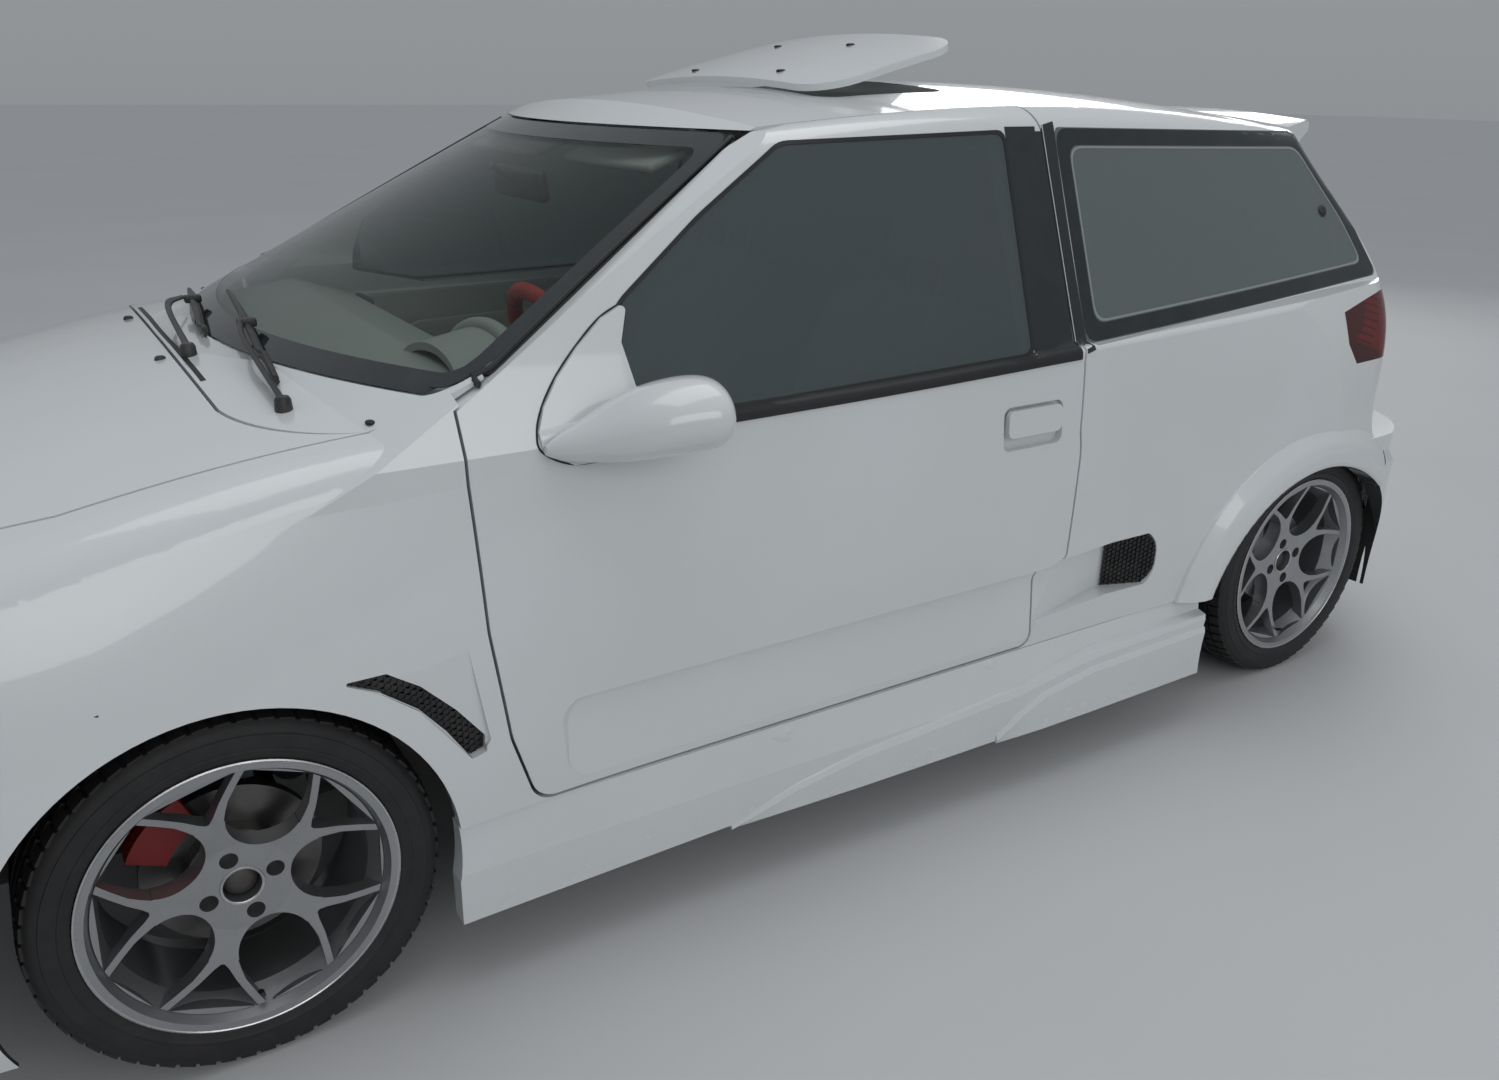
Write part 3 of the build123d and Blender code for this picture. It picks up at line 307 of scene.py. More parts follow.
looks = {"knuckleIron": makeKnuckle(knuckleLook), "paint": makePaint(paintLook)}
lookTable = {
    makePlastic: {  # colour, roughness, grain's scale and strength, dust
        "blackTrim": ((0.018, 0.018, 0.019), 0.42, 900, 0.25, 0.2),
        "dashPlastic": ((0.33, 0.33, 0.32), 0.55, 700, 0.4, 0.15),
        "darkPlastic": ((0.035, 0.036, 0.038), 0.5, 700, 0.35, 0.2),
        "pillarBlack": ((0.017, 0.022, 0.024), 0.10, 500, 0.02, 0.03),
        "fritBlack": ((0.014, 0.018, 0.020), 0.06, 400, 0.01, 0.04),
        # a painted highlight: the glint along the quarter glass's edge
        "paleLine": ((0.26, 0.29, 0.29), 0.25, 400, 0.02, 0.05),
        "meshBlack": ((0.016, 0.016, 0.017), 0.38, 500, 0.1, 0.15),
        "bulbGlass": ((0.52, 0.54, 0.56), 0.08, 500, 0.02, 0.03),
        "amberLens": ((0.55, 0.17, 0.02), 0.12, 500, 0.05, 0.05),
        "redLens": ((0.42, 0.010, 0.012), 0.10, 500, 0.05, 0.05),
        "plateWhite": ((0.62, 0.63, 0.62), 0.35, 700, 0.05, 0.15),
    },
    makeMetal: {  # colour, roughness, metallic, rusty spots, marks, brushing
        "rimPaint": ((0.40, 0.405, 0.415), 0.30, 0.85, None, 0.08),
        "rimEdge": ((0.58, 0.58, 0.59), 0.24, 0.9),
        "castIron": ((0.12, 0.115, 0.11), 0.55, 0.8, (0.13, 0.07, 0.045)),
        "discSteel": ((0.17, 0.165, 0.16), 0.36, 1.0, None, 0.15, (1, 8, 1)),
        "steel": ((0.5, 0.5, 0.5), 0.3, 1.0),
        "blackSteel": ((0.03, 0.03, 0.032), 0.45, 0.4),
        "pipeSteel": ((0.32, 0.29, 0.26), 0.38, 1.0, (0.20, 0.13, 0.09)),
        "castAluminium": ((0.42, 0.43, 0.44), 0.5, 0.9),
        "springPaint": ((0.30, 0.02, 0.02), 0.4, 0.0, (0.12, 0.07, 0.05)),
        "mirrorMetal": ((0.80, 0.81, 0.82), 0.05, 1.0, None, 0.03),
        "heaterLine": ((0.30, 0.13, 0.07), 0.5, 0.6),
    },
    makeRubber: {  # colour, roughness, dust
        "tyreRubber": ((0.013, 0.013, 0.014), 0.62, 0.10),
        "sealRubber": ((0.010, 0.011, 0.012), 0.50, 0.03),
        "underseal": ((0.04, 0.041, 0.043), 0.85, 0.6),
        "carpet": ((0.05, 0.05, 0.052), 0.95, 0.3),
    },
    makeGlass: {  # tint, how closed, colour of the closed part (on the side and rear glass this colour is partly the tint and partly a painted reflection of the sky)
        # door glass: the closed part's colour is the grey-green tint, lightened by a painted reflection of
        # the sky
        "sideGlass": ((0.52, 0.57, 0.57), 0.48, (0.105, 0.138, 0.145)),
        # quarter and rear glass: a lighter closed part, a painted reflection of the sky at a grazing angle
        "rearGlass": ((0.50, 0.55, 0.54), 0.60, (0.17, 0.21, 0.205)),
        "screenGlass": ((0.90, 0.94, 0.92), 0.05),
        "lampGlass": ((0.95, 0.96, 0.97), 0.03),
        "smokedLamp": ((0.62, 0.05, 0.05), 0.42, (0.10, 0.006, 0.007)),
    },
    makeFabric: {  # two colours, scale of the threads
        "seatFabric": ((0.50, 0.49, 0.46), (0.42, 0.41, 0.39), 620),
        "liningCloth": ((0.40, 0.395, 0.38), (0.36, 0.355, 0.34), 900),
        "beltCloth": ((0.025, 0.025, 0.027), (0.02, 0.02, 0.021), 700),
    },
    makeLeather: {"redLeather": ((0.42, 0.02, 0.02), 0.42)},
}
for make, table in lookTable.items():
    for name, values in table.items():
        looks[name] = make(name, *values)
print("materials made:", len(looks))

corners = ("front_left", "front_right", "rear_left", "rear_right")
nodeLooks = {
    "paint": ("bonnet", "tailgate", "roof_panel", "door_left", "door_right", "body_sides", "front_bumper",
              "door_handle_left", "door_handle_right", "front_wings", "scuttle_panel", "rear_bumper",
              "side_skirts", "sunroof_panel", "roof_spoiler", "door_mirror_left", "door_mirror_right"),
    "sideGlass": ("door_glass_left", "door_glass_right"),
    "rearGlass": ("quarter_windows", "rear_window"),
    "screenGlass": ("windscreen",),
    "lampGlass": ("headlamps",),
    "smokedLamp": ("tail_lamps",),
    "rimPaint": [f"rim_{corner}" for corner in corners],
    "tyreRubber": [f"tyre_{corner}" for corner in corners],
    "discSteel": ("brake_disc_front_left", "brake_disc_front_right"),
    "knuckleIron": ("knuckle_front_left", "knuckle_front_right"),
    "blackSteel": ("front_subframe", "rear_axle"),
    "castAluminium": ("engine",),
    "darkPlastic": ("fuel_tank",),
    "pipeSteel": ("exhaust",),
    "underseal": ("floor_and_bulkhead", "front_wheel_housings", "rear_wheel_housings"),
    "dashPlastic": ("dashboard",),
    "redLeather": ("steering_wheel",),
    "meshBlack": ("side_vents",),
    "seatFabric": ("front_seats", "rear_seat"),
}
for look, names in nodeLooks.items():
    for name in names:
        materials = nodes[name].data.materials
        materials.clear()
        materials.append(looks[look])

# Studio

studio = {
    "floorSize": 60.0,
    "floorColour": (0.60, 0.605, 0.61),
    "worldLow": (0.50, 0.52, 0.54), "worldHigh": (0.86, 0.90, 0.95), "worldStrength": 0.50,
    "lights": (  # name, place, what it points at, size in metres, watts
        ("overhead", (-0.5, 0.5, 5.2), (-0.3, 0, 0.6), (5.5, 3.0), 60),
        ("leftWindow", (0.5, 6.0, 3.0), (0, 0, 0.6), (6.0, 2.2), 62),
        ("rearFill", (-6.0, -3.5, 3.2), (-0.5, 0, 0.7), (4.0, 2.0), 55),
    ),
}


def addStudio(setup):
    size = setup["floorSize"]
    mesh = bpy.data.meshes.new("studioFloor")
    mesh.from_pydata([(-size, -size, 0), (size, -size, 0), (size, size, 0), (-size, size, 0)],
                     [], [(0, 1, 2, 3)])
    floor = bpy.data.objects.new("studioFloor", mesh)
    scene.collection.objects.link(floor)
    g = Graph("floorPaint")
    tone = g.between(g.noise(0.7, 4), 0.3, 0.7)
    colour = setup["floorColour"]
    g.put("Base Color", g.mixed(tone, colour, tuple(c * 0.96 for c in colour)))
    g.put("Roughness", 0.85)
    mesh.materials.append(g.material)

    world = bpy.data.worlds.new("softRoom")
    world.use_nodes = True
    scene.world = world
    tree = world.node_tree
    back = tree.nodes["Background"]
    coords = tree.nodes.new("ShaderNodeTexCoord")
    split = tree.nodes.new("ShaderNodeSeparateXYZ")
    ramp = tree.nodes.new("ShaderNodeValToRGB")
    ends = ((0.42, setup["worldLow"]), (0.9, setup["worldHigh"]))
    for element, (position, colour) in zip(ramp.color_ramp.elements, ends):
        element.position, element.color = position, (*colour, 1)
    height = tree.nodes.new("ShaderNodeMapRange")
    height.inputs["From Min"].default_value = -1
    tree.links.new(coords.outputs["Generated"], split.inputs[0])
    tree.links.new(split.outputs["Z"], height.inputs["Value"])
    tree.links.new(height.outputs[0], ramp.inputs["Fac"])
    tree.links.new(ramp.outputs["Color"], back.inputs["Color"])
    back.inputs["Strength"].default_value = setup["worldStrength"]


def addSoftLight(name, place, target, size, watts):
    data = bpy.data.lights.new(name, "AREA")
    data.shape, data.size, data.size_y = "RECTANGLE", size[0], size[1]
    data.energy = watts
    light = bpy.data.objects.new(name, data)
    light.location = place
    light.rotation_euler = (Vector(target) - Vector(place)).to_track_quat("-Z", "Y").to_euler()
    scene.collection.objects.link(light)


addStudio(studio)
for light in studio["lights"]:
    addSoftLight(*light)
print("camera and studio made")

# Mesh helpers


def placed(name, mesh, look, body, angle=35):
    # put a finished mesh in the scene, riding on a body
    mesh.name = name
    mesh.materials.clear()
    mesh.materials.append(looks[look])
    mesh.polygons.foreach_set("use_smooth", [True] * len(mesh.polygons))
    mesh.polygons.foreach_set("material_index", [0] * len(mesh.polygons))
    mesh.set_sharp_from_angle(angle=radians(angle))
    piece = bpy.data.objects.new(name, mesh)
    scene.collection.objects.link(piece)
    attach(piece, body)
    return piece


def shaped(verts, faces):
    # a clean mesh from points and faces, its faces turned outwards
    mesh = bpy.data.meshes.new("shape")
    mesh.from_pydata([tuple(v) for v in verts], [], faces)
    bm = bmesh.new()
    bm.from_mesh(mesh)
    bmesh.ops.remove_doubles(bm, verts=bm.verts, dist=1e-6)
    bmesh.ops.dissolve_degenerate(bm, edges=bm.edges, dist=1e-7)
    bmesh.ops.recalc_face_normals(bm, faces=bm.faces)
    bm.to_mesh(mesh)
    bm.free()
    return mesh


def loft(rings):
    # a closed mesh through rings of equally many points
    count = len(rings[0])
    verts = [p for ring in rings for p in ring]
    last = len(verts) - count
    faces = []
    for a in range(0, last, count):
        for k in range(count):
            j = (k + 1) % count
            faces.append((a + k, a + j, a + count + j, a + count + k))
    faces += [tuple(range(count)), tuple(range(last, len(verts)))]
    return shaped(verts, faces)


def sheetFaces(columns, rows):
    # both faces of a sheet, whose far layer follows the near one
    width, layer = columns + 1, (columns + 1) * (rows + 1)
    faces = []
    for j in range(rows):
        for i in range(columns):
            a = j * width + i
            faces.append((a, a + 1, a + 1 + width, a + width))
            faces.append((layer + a, layer + a + width, layer + a + 1 + width, layer + a + 1))
    return faces


def joined(*meshes):
    # one mesh out of several
    bm = bmesh.new()
    for mesh in meshes:
        bm.from_mesh(mesh)
    whole = bpy.data.meshes.new("whole")
    bm.to_mesh(whole)
    bm.free()
    return whole


def moved(mesh, matrix):
    # a moved copy. A mirroring matrix turns the faces round again
    copy = mesh.copy()
    copy.transform(matrix)
    if matrix.determinant() < 0:
        copy.flip_normals()
    return copy


def stood(mesh, place, axis="X", angle=pi / 2):
    # turn a mesh about an axis and set it at a place
    mesh.transform(Matrix.Translation(place) @ Matrix.Rotation(angle, 4, axis))
    return mesh


def lathe(profile, steps=96, loop=True):
    # radius and Y pairs turned about the Y axis
    count = len(profile)
    verts = [(r * cos(2 * pi * k / steps), y, r * sin(2 * pi * k / steps))
             for k in range(steps) for r, y in profile]
    faces = []
    for k in range(steps):
        a, b = k * count, (k + 1) % steps * count
        for i in range(count if loop else count - 1):
            j = (i + 1) % count
            faces.append((a + i, a + j, b + j, b + i))
    return shaped(verts, faces)


def smoothLine(points, samples):
    # points along a smooth line through the given ones
    line = [Vector(p) for p in points]
    line = [line[0] * 2 - line[1], *line, line[-1] * 2 - line[-2]]
    spans = len(line) - 3
    result = []
    for n in range(samples):
        t = n / (samples - 1) * spans
        i = min(int(t), spans - 1)
        t -= i
        a, b, c, d = line[i:i + 4]
        result.append(((b * 2) + (c - a) * t + (a * 2 - b * 5 + c * 4 - d) * t * t
                       + (b * 3 - a - c * 3 + d) * t ** 3) / 2)
    return result


def flatLine(points, samples):
    return smoothLine([(*p, 0) for p in points], samples)


def straight(start, end, count):
    # evenly spaced points from start to end
    return [[a + (b - a) * k / (count - 1) for a, b in zip(start, end)] for k in range(count)]


def tube(points, radius, sides=12, squash=1.0):
    # a closed tube along points; radius may be one number or one for each point
    points = [Vector(p) for p in points]
    radii = radius if isinstance(radius, list) else [radius] * len(points)
    rings, side = [], None
    for i, p in enumerate(points):
        ahead = (points[min(i + 1, len(points) - 1)] - points[max(i - 1, 0)]).normalized()
        side = (ahead.orthogonal() if side is None else side - ahead * side.dot(ahead)).normalized()
        up = ahead.cross(side)
        angles = [2 * pi * k / sides for k in range(sides)]
        rings.append([p + side * (radii[i] * cos(a)) + up * (radii[i] * squash * sin(a)) for a in angles])
    return loft(rings)


def slab(size, place=(0, 0, 0), turn=None, bevel=0.002, segments=2):
    # a block with rounded edges
    bm = bmesh.new()
    bmesh.ops.create_cube(bm, size=1)
    bmesh.ops.scale(bm, vec=size, verts=bm.verts)
    if bevel:
        bmesh.ops.bevel(bm, geom=bm.edges[:] + bm.verts[:], offset=bevel, segments=segments,
                        affect="EDGES", profile=0.5)
    mesh = bpy.data.meshes.new("slab")
    bm.to_mesh(mesh)
    bm.free()
    mesh.transform(Matrix.Translation(place) @ (turn or Matrix.Identity(4)))
    return mesh


mirrorY = Matrix.Scale(-1, 4, (0, 1, 0))


class Skin:
    # the outside of some nodes, met by rays along one axis

    def __init__(self, names, axis, sign, start=-3.0, extra=()):
        bm = bmesh.new()
        for name in names:
            bm.from_mesh(nodes[name].data)
        for mesh in extra:
            bm.from_mesh(mesh)
        self.tree = BVHTree.FromBMesh(bm)
        bm.free()
        self.axis, self.sign, self.start = axis, sign, start
        self.others = [i for i in range(3) if i != axis]

    def at(self, a, b, lift=0.0):
        start = Vector((0, 0, 0))
        start[self.axis] = -self.start * self.sign
        start[self.others[0]], start[self.others[1]] = a, b
        ray = Vector((0, 0, 0))
        ray[self.axis] = -self.sign
        hit, normal, _, _ = self.tree.ray_cast(start, ray)
        if hit is None:
            hit, normal, _, _ = self.tree.find_nearest(start + ray * 0.75 * abs(self.start))
        if normal.dot(ray) > 0:
            normal = -normal
        return hit + normal * lift


def band(skin, edgeA, edgeB, samples, across=2, lift=0.0006, depth=0.0012, loop=False):
    # a thin strip lying on a skin between two lines of points
    spaced = evenLoop if loop else flatLine
    lineA, lineB = spaced(edgeA, samples), spaced(edgeB, samples)
    rows = across + 1
    outer, inner = [], []
    for a, b in zip(lineA, lineB):
        for k in range(rows):
            p = a.lerp(b, k / across)
            outer.append(skin.at(p.x, p.y, lift))
            inner.append(skin.at(p.x, p.y, lift - depth))
    shift = len(outer)
    faces = []
    turns = samples if loop else samples - 1
    for i in range(turns):
        j = (i + 1) % samples
        for k in range(across):
            a, b = i * rows + k, j * rows + k
            faces.append((a, b, b + 1, a + 1))
            faces.append((shift + a, shift + a + 1, shift + b + 1, shift + b))
        for k, flip in ((0, False), (across, True)):
            a, b = i * rows + k, j * rows + k
            quad = (a, shift + a, shift + b, b)
            faces.append(quad[::-1] if flip else quad)
    if not loop:
        for i in (0, samples - 1):
            for k in range(across):
                a = i * rows + k
                faces.append((a, a + 1, shift + a + 1, shift + a))
    return shaped(outer + inner, faces)


def evenLoop(points, samples):
    # points spaced evenly round a closed outline
    line = [Vector((*p, 0)) for p in points]
    line.append(line[0])
    lengths = [(b - a).length for a, b in zip(line, line[1:])]
    total, result = sum(lengths), []
    for n in range(samples):
        left, i = n / samples * total, 0
        while left > lengths[i]:
            left -= lengths[i]
            i += 1
        result.append(line[i].lerp(line[i + 1], left / lengths[i]))
    return result


def roundedOutline(points, radius, steps=6):
    # an outline with its corners rounded
    result = []
    count = len(points)
    for i, point in enumerate(points):
        p = Vector(point)
        before, after = Vector(points[i - 1]) - p, Vector(points[(i + 1) % count]) - p
        reach = min(radius, before.length * 0.45, after.length * 0.45)
        a, b = p + before.normalized() * reach, p + after.normalized() * reach
        for k in range(steps + 1):
            t = k / steps
            result.append(tuple(a * (1 - t) ** 2 + p * 2 * t * (1 - t) + b * t * t))
    return result


def inset(points, distance):
    # an outline moved in by a distance
    count = len(points)
    area = sum(points[i - 1][0] * points[i][1] - points[i][0] * points[i - 1][1]
               for i in range(count))
    side = 1 if area > 0 else -1
    result = []
    for i in range(count):
        a, p, b = Vector(points[i - 1]), Vector(points[i]), Vector(points[(i + 1) % count])
        d1, d2 = (p - a).normalized(), (b - p).normalized()
        n1, n2 = Vector((-d1.y, d1.x)) * side, Vector((-d2.y, d2.x)) * side
        middle = (n1 + n2).normalized()
        result.append(tuple(p + middle * (distance / max(0.4, middle.dot(n1)))))
    return result


# Geometry Nodes: trees for what repeats


class Rig:
    # a Geometry Nodes tree being built

    def __init__(self, name, **inputs):
        self.tree = bpy.data.node_groups.new(name, "GeometryNodeTree")
        kinds = {int: "NodeSocketInt", float: "NodeSocketFloat", tuple: "NodeSocketVector"}
        for key, value in inputs.items():
            kind = kinds.get(type(value), "NodeSocketMaterial")
            socket = self.tree.interface.new_socket(name=key, in_out="INPUT", socket_type=kind)
            if kind != "NodeSocketMaterial":
                socket.default_value = value
        self.tree.interface.new_socket(name="Geometry", in_out="OUTPUT", socket_type="NodeSocketGeometry")
        self.start = self.tree.nodes.new("NodeGroupInput")
        self.end = self.tree.nodes.new("NodeGroupOutput")

    def add(self, kind, sockets=None, **settings):
        made = self.tree.nodes.new(kind)
        for key, value in settings.items():
            setattr(made, key, value)
        for key, value in (sockets or {}).items():
            if isinstance(value, str):  # the name of one of the tree's own inputs
                value = self.start.outputs[value]
            if isinstance(value, bpy.types.NodeSocket):
                self.tree.links.new(value, made.inputs[key])
            else:
                made.inputs[key].default_value = value
        return made

    def make(self, kind, sockets=None, **settings):
        return self.add(kind, sockets, **settings).outputs[0]

    def maths(self, operation, *values):
        return self.make("ShaderNodeMath", dict(enumerate(values)), operation=operation)

    def stand(self, geometry):
        # what lies round the origin on XY then stands about the Y axis, shifted sideways
        turn = self.make("ShaderNodeCombineXYZ", {"X": pi / 2, "Y": "Start"})
        shift = self.make("ShaderNodeCombineXYZ", {"Y": "Sideways"})
        return self.make("GeometryNodeTransform",
                         {"Geometry": geometry, "Rotation": turn, "Translation": shift})

    def finish(self, geometry):
        real = self.make("GeometryNodeRealizeInstances", {"Geometry": geometry})
        colour = self.make("GeometryNodeSetMaterial", {"Geometry": real, "Material": "Finish"})
        self.tree.links.new(colour, self.end.inputs[0])

    def grow(self, **values):
        # run the tree and give its result as a plain mesh
        holder = bpy.data.objects.new("growing", bpy.data.meshes.new("growing"))
        scene.collection.objects.link(holder)
        modifier = holder.modifiers.new("grow", "NODES")
        modifier.node_group = self.tree
        for item in self.tree.interface.items_tree:
            if item.in_out == "INPUT" and item.name in values:
                modifier[item.identifier] = values[item.name]
        ready = holder.evaluated_get(bpy.context.evaluated_depsgraph_get())
        mesh = bpy.data.meshes.new_from_object(ready)
        bpy.data.objects.remove(holder)
        return mesh


def blockRingRig():
    # blocks standing round a ring about the Y axis
    rig = Rig("blockRing", Count=60, Radius=0.28, Size=(0.01, 0.02, 0.02), Sideways=0.0, Skew=0.0,
              Lean=0.0, Start=0.0, Finish=None)
    ring = rig.make("GeometryNodeMeshCircle", {"Vertices": "Count", "Radius": "Radius"})
    block = rig.make("GeometryNodeMeshCube", {"Size": "Size"})
    tilt = rig.make("ShaderNodeCombineXYZ", {"X": "Skew", "Y": "Lean"})
    turned = rig.make("GeometryNodeTransform", {"Geometry": block, "Rotation": tilt})
    place = rig.make("GeometryNodeInputPosition")
    facing = rig.make("FunctionNodeAlignRotationToVector", {"Vector": place}, axis="X", pivot_axis="Z")
    rig.finish(rig.stand(rig.make("GeometryNodeInstanceOnPoints",
                                  {"Points": ring, "Instance": turned, "Rotation": facing})))
    return rig


def rodRingRig():
    # six-sided heads standing in a circle about the Y axis
    rig = Rig("rodRing", Count=4, Radius=0.05, Sides=6, HeadRadius=0.008, Depth=0.01, Sideways=0.0,
              Start=0.0, Finish=None)
    ring = rig.make("GeometryNodeMeshCircle", {"Vertices": "Count", "Radius": "Radius"})
    head = rig.make("GeometryNodeMeshCylinder",
                    {"Vertices": "Sides", "Radius": "HeadRadius", "Depth": "Depth"})
    rig.finish(rig.stand(rig.make("GeometryNodeInstanceOnPoints", {"Points": ring, "Instance": head})))
    return rig


def barRowRig():
    # equal bars in a row
    rig = Rig("barRow", Count=8, Step=(0.0, 0.0, 0.01), Size=(0.01, 0.1, 0.002), Lean=(0.0, 0.0, 0.0),
              Finish=None)
    row = rig.make("GeometryNodeMeshLine", {"Count": "Count", "Offset": "Step"})
    bar = rig.make("GeometryNodeMeshCube", {"Size": "Size"})
    rig.finish(rig.make("GeometryNodeInstanceOnPoints",
                        {"Points": row, "Instance": bar, "Rotation": "Lean"}))
    return rig


def coilRig():
    # a spring standing on the XY plane
    rig = Rig("coil", Turns=6.0, Radius=0.05, Height=0.2, Wire=0.006, Finish=None)
    spiral = rig.make("GeometryNodeCurveSpiral", {
        "Resolution": 28, "Rotations": "Turns", "Start Radius": "Radius", "End Radius": "Radius",
        "Height": "Height"})
    wire = rig.make("GeometryNodeCurvePrimitiveCircle", {"Resolution": 10, "Radius": "Wire"})
    rig.finish(rig.make("GeometryNodeCurveToMesh",
                        {"Curve": spiral, "Profile Curve": wire, "Fill Caps": True}))
    return rig


hexagon = {"rowStep": 0.8660254, "radius": 0.57735}  # of a honeycomb whose cells are 1 apart


def combRig():
    # a honeycomb of six-sided rings on one side of the object it is given
    rig = Rig("honeycomb", Cell=0.012, Across=40, Along=40, Wall=0.0012, Depth=0.003, Start=(0.0, 0.0, 0.0),
              Ray=(0.0, -1.0, 0.0), Turn=(1.5708, 0.0, 0.0), Finish=None)
    rig.tree.interface.new_socket(name="Target", in_out="INPUT", socket_type="NodeSocketObject")
    index = rig.make("GeometryNodeInputIndex")
    grid = rig.make("GeometryNodeMeshGrid", {"Vertices X": "Across", "Vertices Y": "Along",
                                             "Size X": 1.0, "Size Y": 1.0})
    row = rig.maths("FLOOR", rig.maths("DIVIDE", index, "Along"))
    half = rig.maths("MULTIPLY_ADD", rig.maths("MODULO", row, 2.0), 0.5, rig.maths("MODULO", index, "Along"))
    flat = rig.make("ShaderNodeCombineXYZ", {
        "X": rig.maths("MULTIPLY", row, rig.maths("MULTIPLY", "Cell", hexagon["rowStep"])),
        "Y": rig.maths("MULTIPLY", half, "Cell")})
    laid = rig.make("GeometryNodeSetPosition", {"Geometry": grid, "Position": flat})
    upright = rig.make("GeometryNodeTransform",
                       {"Geometry": laid, "Rotation": "Turn", "Translation": "Start"})
    target = rig.add("GeometryNodeObjectInfo", {"Object": "Target"}, transform_space="ORIGINAL")
    cast = rig.add("GeometryNodeRaycast", {
        "Target Geometry": target.outputs["Geometry"], "Ray Direction": "Ray", "Ray Length": 2.0})
    isHit, hitPlace = cast.outputs["Is Hit"], cast.outputs["Hit Position"]
    dropped = rig.make("GeometryNodeSetPosition",
                       {"Geometry": upright, "Selection": isHit, "Position": hitPlace})
    ring = rig.make("GeometryNodeCurvePrimitiveCircle", {
        "Resolution": 6, "Radius": rig.maths("MULTIPLY", "Cell", hexagon["radius"])})
    wall = rig.make("GeometryNodeCurvePrimitiveQuadrilateral", {"Width": "Wall", "Height": "Depth"})
    cell = rig.make("GeometryNodeCurveToMesh", {"Curve": ring, "Profile Curve": wall})
    turned = rig.make("GeometryNodeTransform", {"Geometry": cell, "Rotation": "Turn"})
    rig.finish(rig.make("GeometryNodeInstanceOnPoints",
                        {"Points": dropped, "Selection": isHit, "Instance": turned}))
    return rig


blockRing, rodRing, barRow, coil, combs = blockRingRig(), rodRingRig(), barRowRig(), coilRig(), combRig()
print("node trees made")

# Wheels

wheel = {
    "frontX": 1.165, "rearX": -1.285, "y": 0.675, "radius": 0.285,
    "boltRadius": 0.049,
}
tyreShape = {
    "profile": ((0.2205, 0.089), (0.2215, 0.0965), (0.228, 0.0995), (0.2325, 0.1005), (0.2345, 0.1018),
                (0.2375, 0.1015), (0.2385, 0.1006), (0.245, 0.1016), (0.256, 0.1008), (0.2595, 0.1008),
                (0.2605, 0.0996), (0.2665, 0.0982), (0.2725, 0.0952), (0.2775, 0.0905), (0.2788, 0.085)),
    "treadBase": 0.2782, "rib": 0.0062,
    "rows": (  # sideways place, blocks, block width, block length, skew, lean
        (0.0795, 62, 0.0245, 0.0215, 0.10, 0.16), (0.0505, 62, 0.0235, 0.0205, 0.42, 0.02),
        (-0.0505, 62, 0.0235, 0.0205, -0.42, -0.02), (-0.0795, 62, 0.0245, 0.0215, -0.10, -0.16),
    ),
    "centreRibs": (0.0215, -0.0215),
    "ribHalfWidth": 0.0125,
}


def tyreMesh(shape):
    half, bead, flank = shape["profile"], shape["profile"][0][0], 0.080
    outside = [*half, *((r, -y) for r, y in reversed(half))]
    parts = [lathe(outside + [(bead, -flank), (bead, flank)], 120)]
    base, rise = shape["treadBase"], shape["rib"]
    for y, count, width, length, skew, lean in shape["rows"]:
        parts.append(blockRing.grow(
            Count=count, Radius=base + rise / 2 - abs(lean) * 0.012, Size=(rise, length, width),
            Sideways=y, Skew=skew, Lean=lean, Start=y * 3, Finish=looks["tyreRubber"]))
    for y in shape["centreRibs"]:
        w = shape["ribHalfWidth"]
        parts.append(lathe([(base - 0.001, y - w), (base + rise, y - w + 0.001),
                            (base + rise, y + w - 0.001), (base - 0.001, y + w)], 120))
    return joined(*parts)


tyre = tyreMesh(tyreShape)
hubCap = lathe([(0.0, 0.014), (0.010, 0.0135), (0.020, 0.011), (0.0245, 0.006), (0.0255, -0.004),
                (0.0255, -0.02), (0.0, -0.02)], 48, loop=False)
boreRing = lathe([(0.0272, 0.0636), (0.0290, 0.0648), (0.0304, 0.0648), (0.0316, 0.0634),
                  (0.0304, 0.0624), (0.0272, 0.0624)], 64)
rimLip = lathe([(0.2145, 0.0975), (0.2178, 0.1000), (0.2201, 0.0990), (0.2201, 0.0950),
                (0.2160, 0.0940)], 120)
valve = tube([(0, 0.074, -0.186), (0, 0.082, -0.181), (0, 0.094, -0.176)], [0.0048, 0.0036, 0.0036], 12)

bolts = rodRing.grow(Count=4, Radius=wheel["boltRadius"], Sides=6, HeadRadius=0.0088, Depth=0.016,
                     Sideways=0.048, Start=-radians(15), Finish=looks["castIron"])
wheelParts = (
    ("wheel_bolts", bolts, "castIron", 25),
    ("hub_cap", moved(hubCap, Matrix.Translation((0, 0.040, 0))), "castIron", 40),
    ("rim_edges", joined(boreRing, rimLip), "rimEdge", 40),
    ("valve", valve, "sealRubber", 40),
)


def dressWheel(name, body, x, side):
    place = Matrix.Translation((x, side * wheel["y"], wheel["radius"]))
    if side < 0:
        place = place @ mirrorY
    rubber = placed(f"tyre_{name}", moved(tyre, place), "tyreRubber", body, 30)
    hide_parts(f"tyre_{name}")
    for piece, mesh, look, angle in wheelParts:
        placed(f"{piece}_{name}", moved(mesh, place), look, body, angle)


for name in corners:
    which, hand = name.split("_")
    dressWheel(name, f"{hand}_{which}_wheel", wheel[f"{which}X"], 1 if hand == "left" else -1)
print("wheels dressed")

# Springs on the front struts

springShape = {"foot": (1.165, 0.5466, 0.616), "head": (1.165, 0.5185, 0.792), "radius": 0.0545,
               "turns": 5.5, "wire": 0.0058}


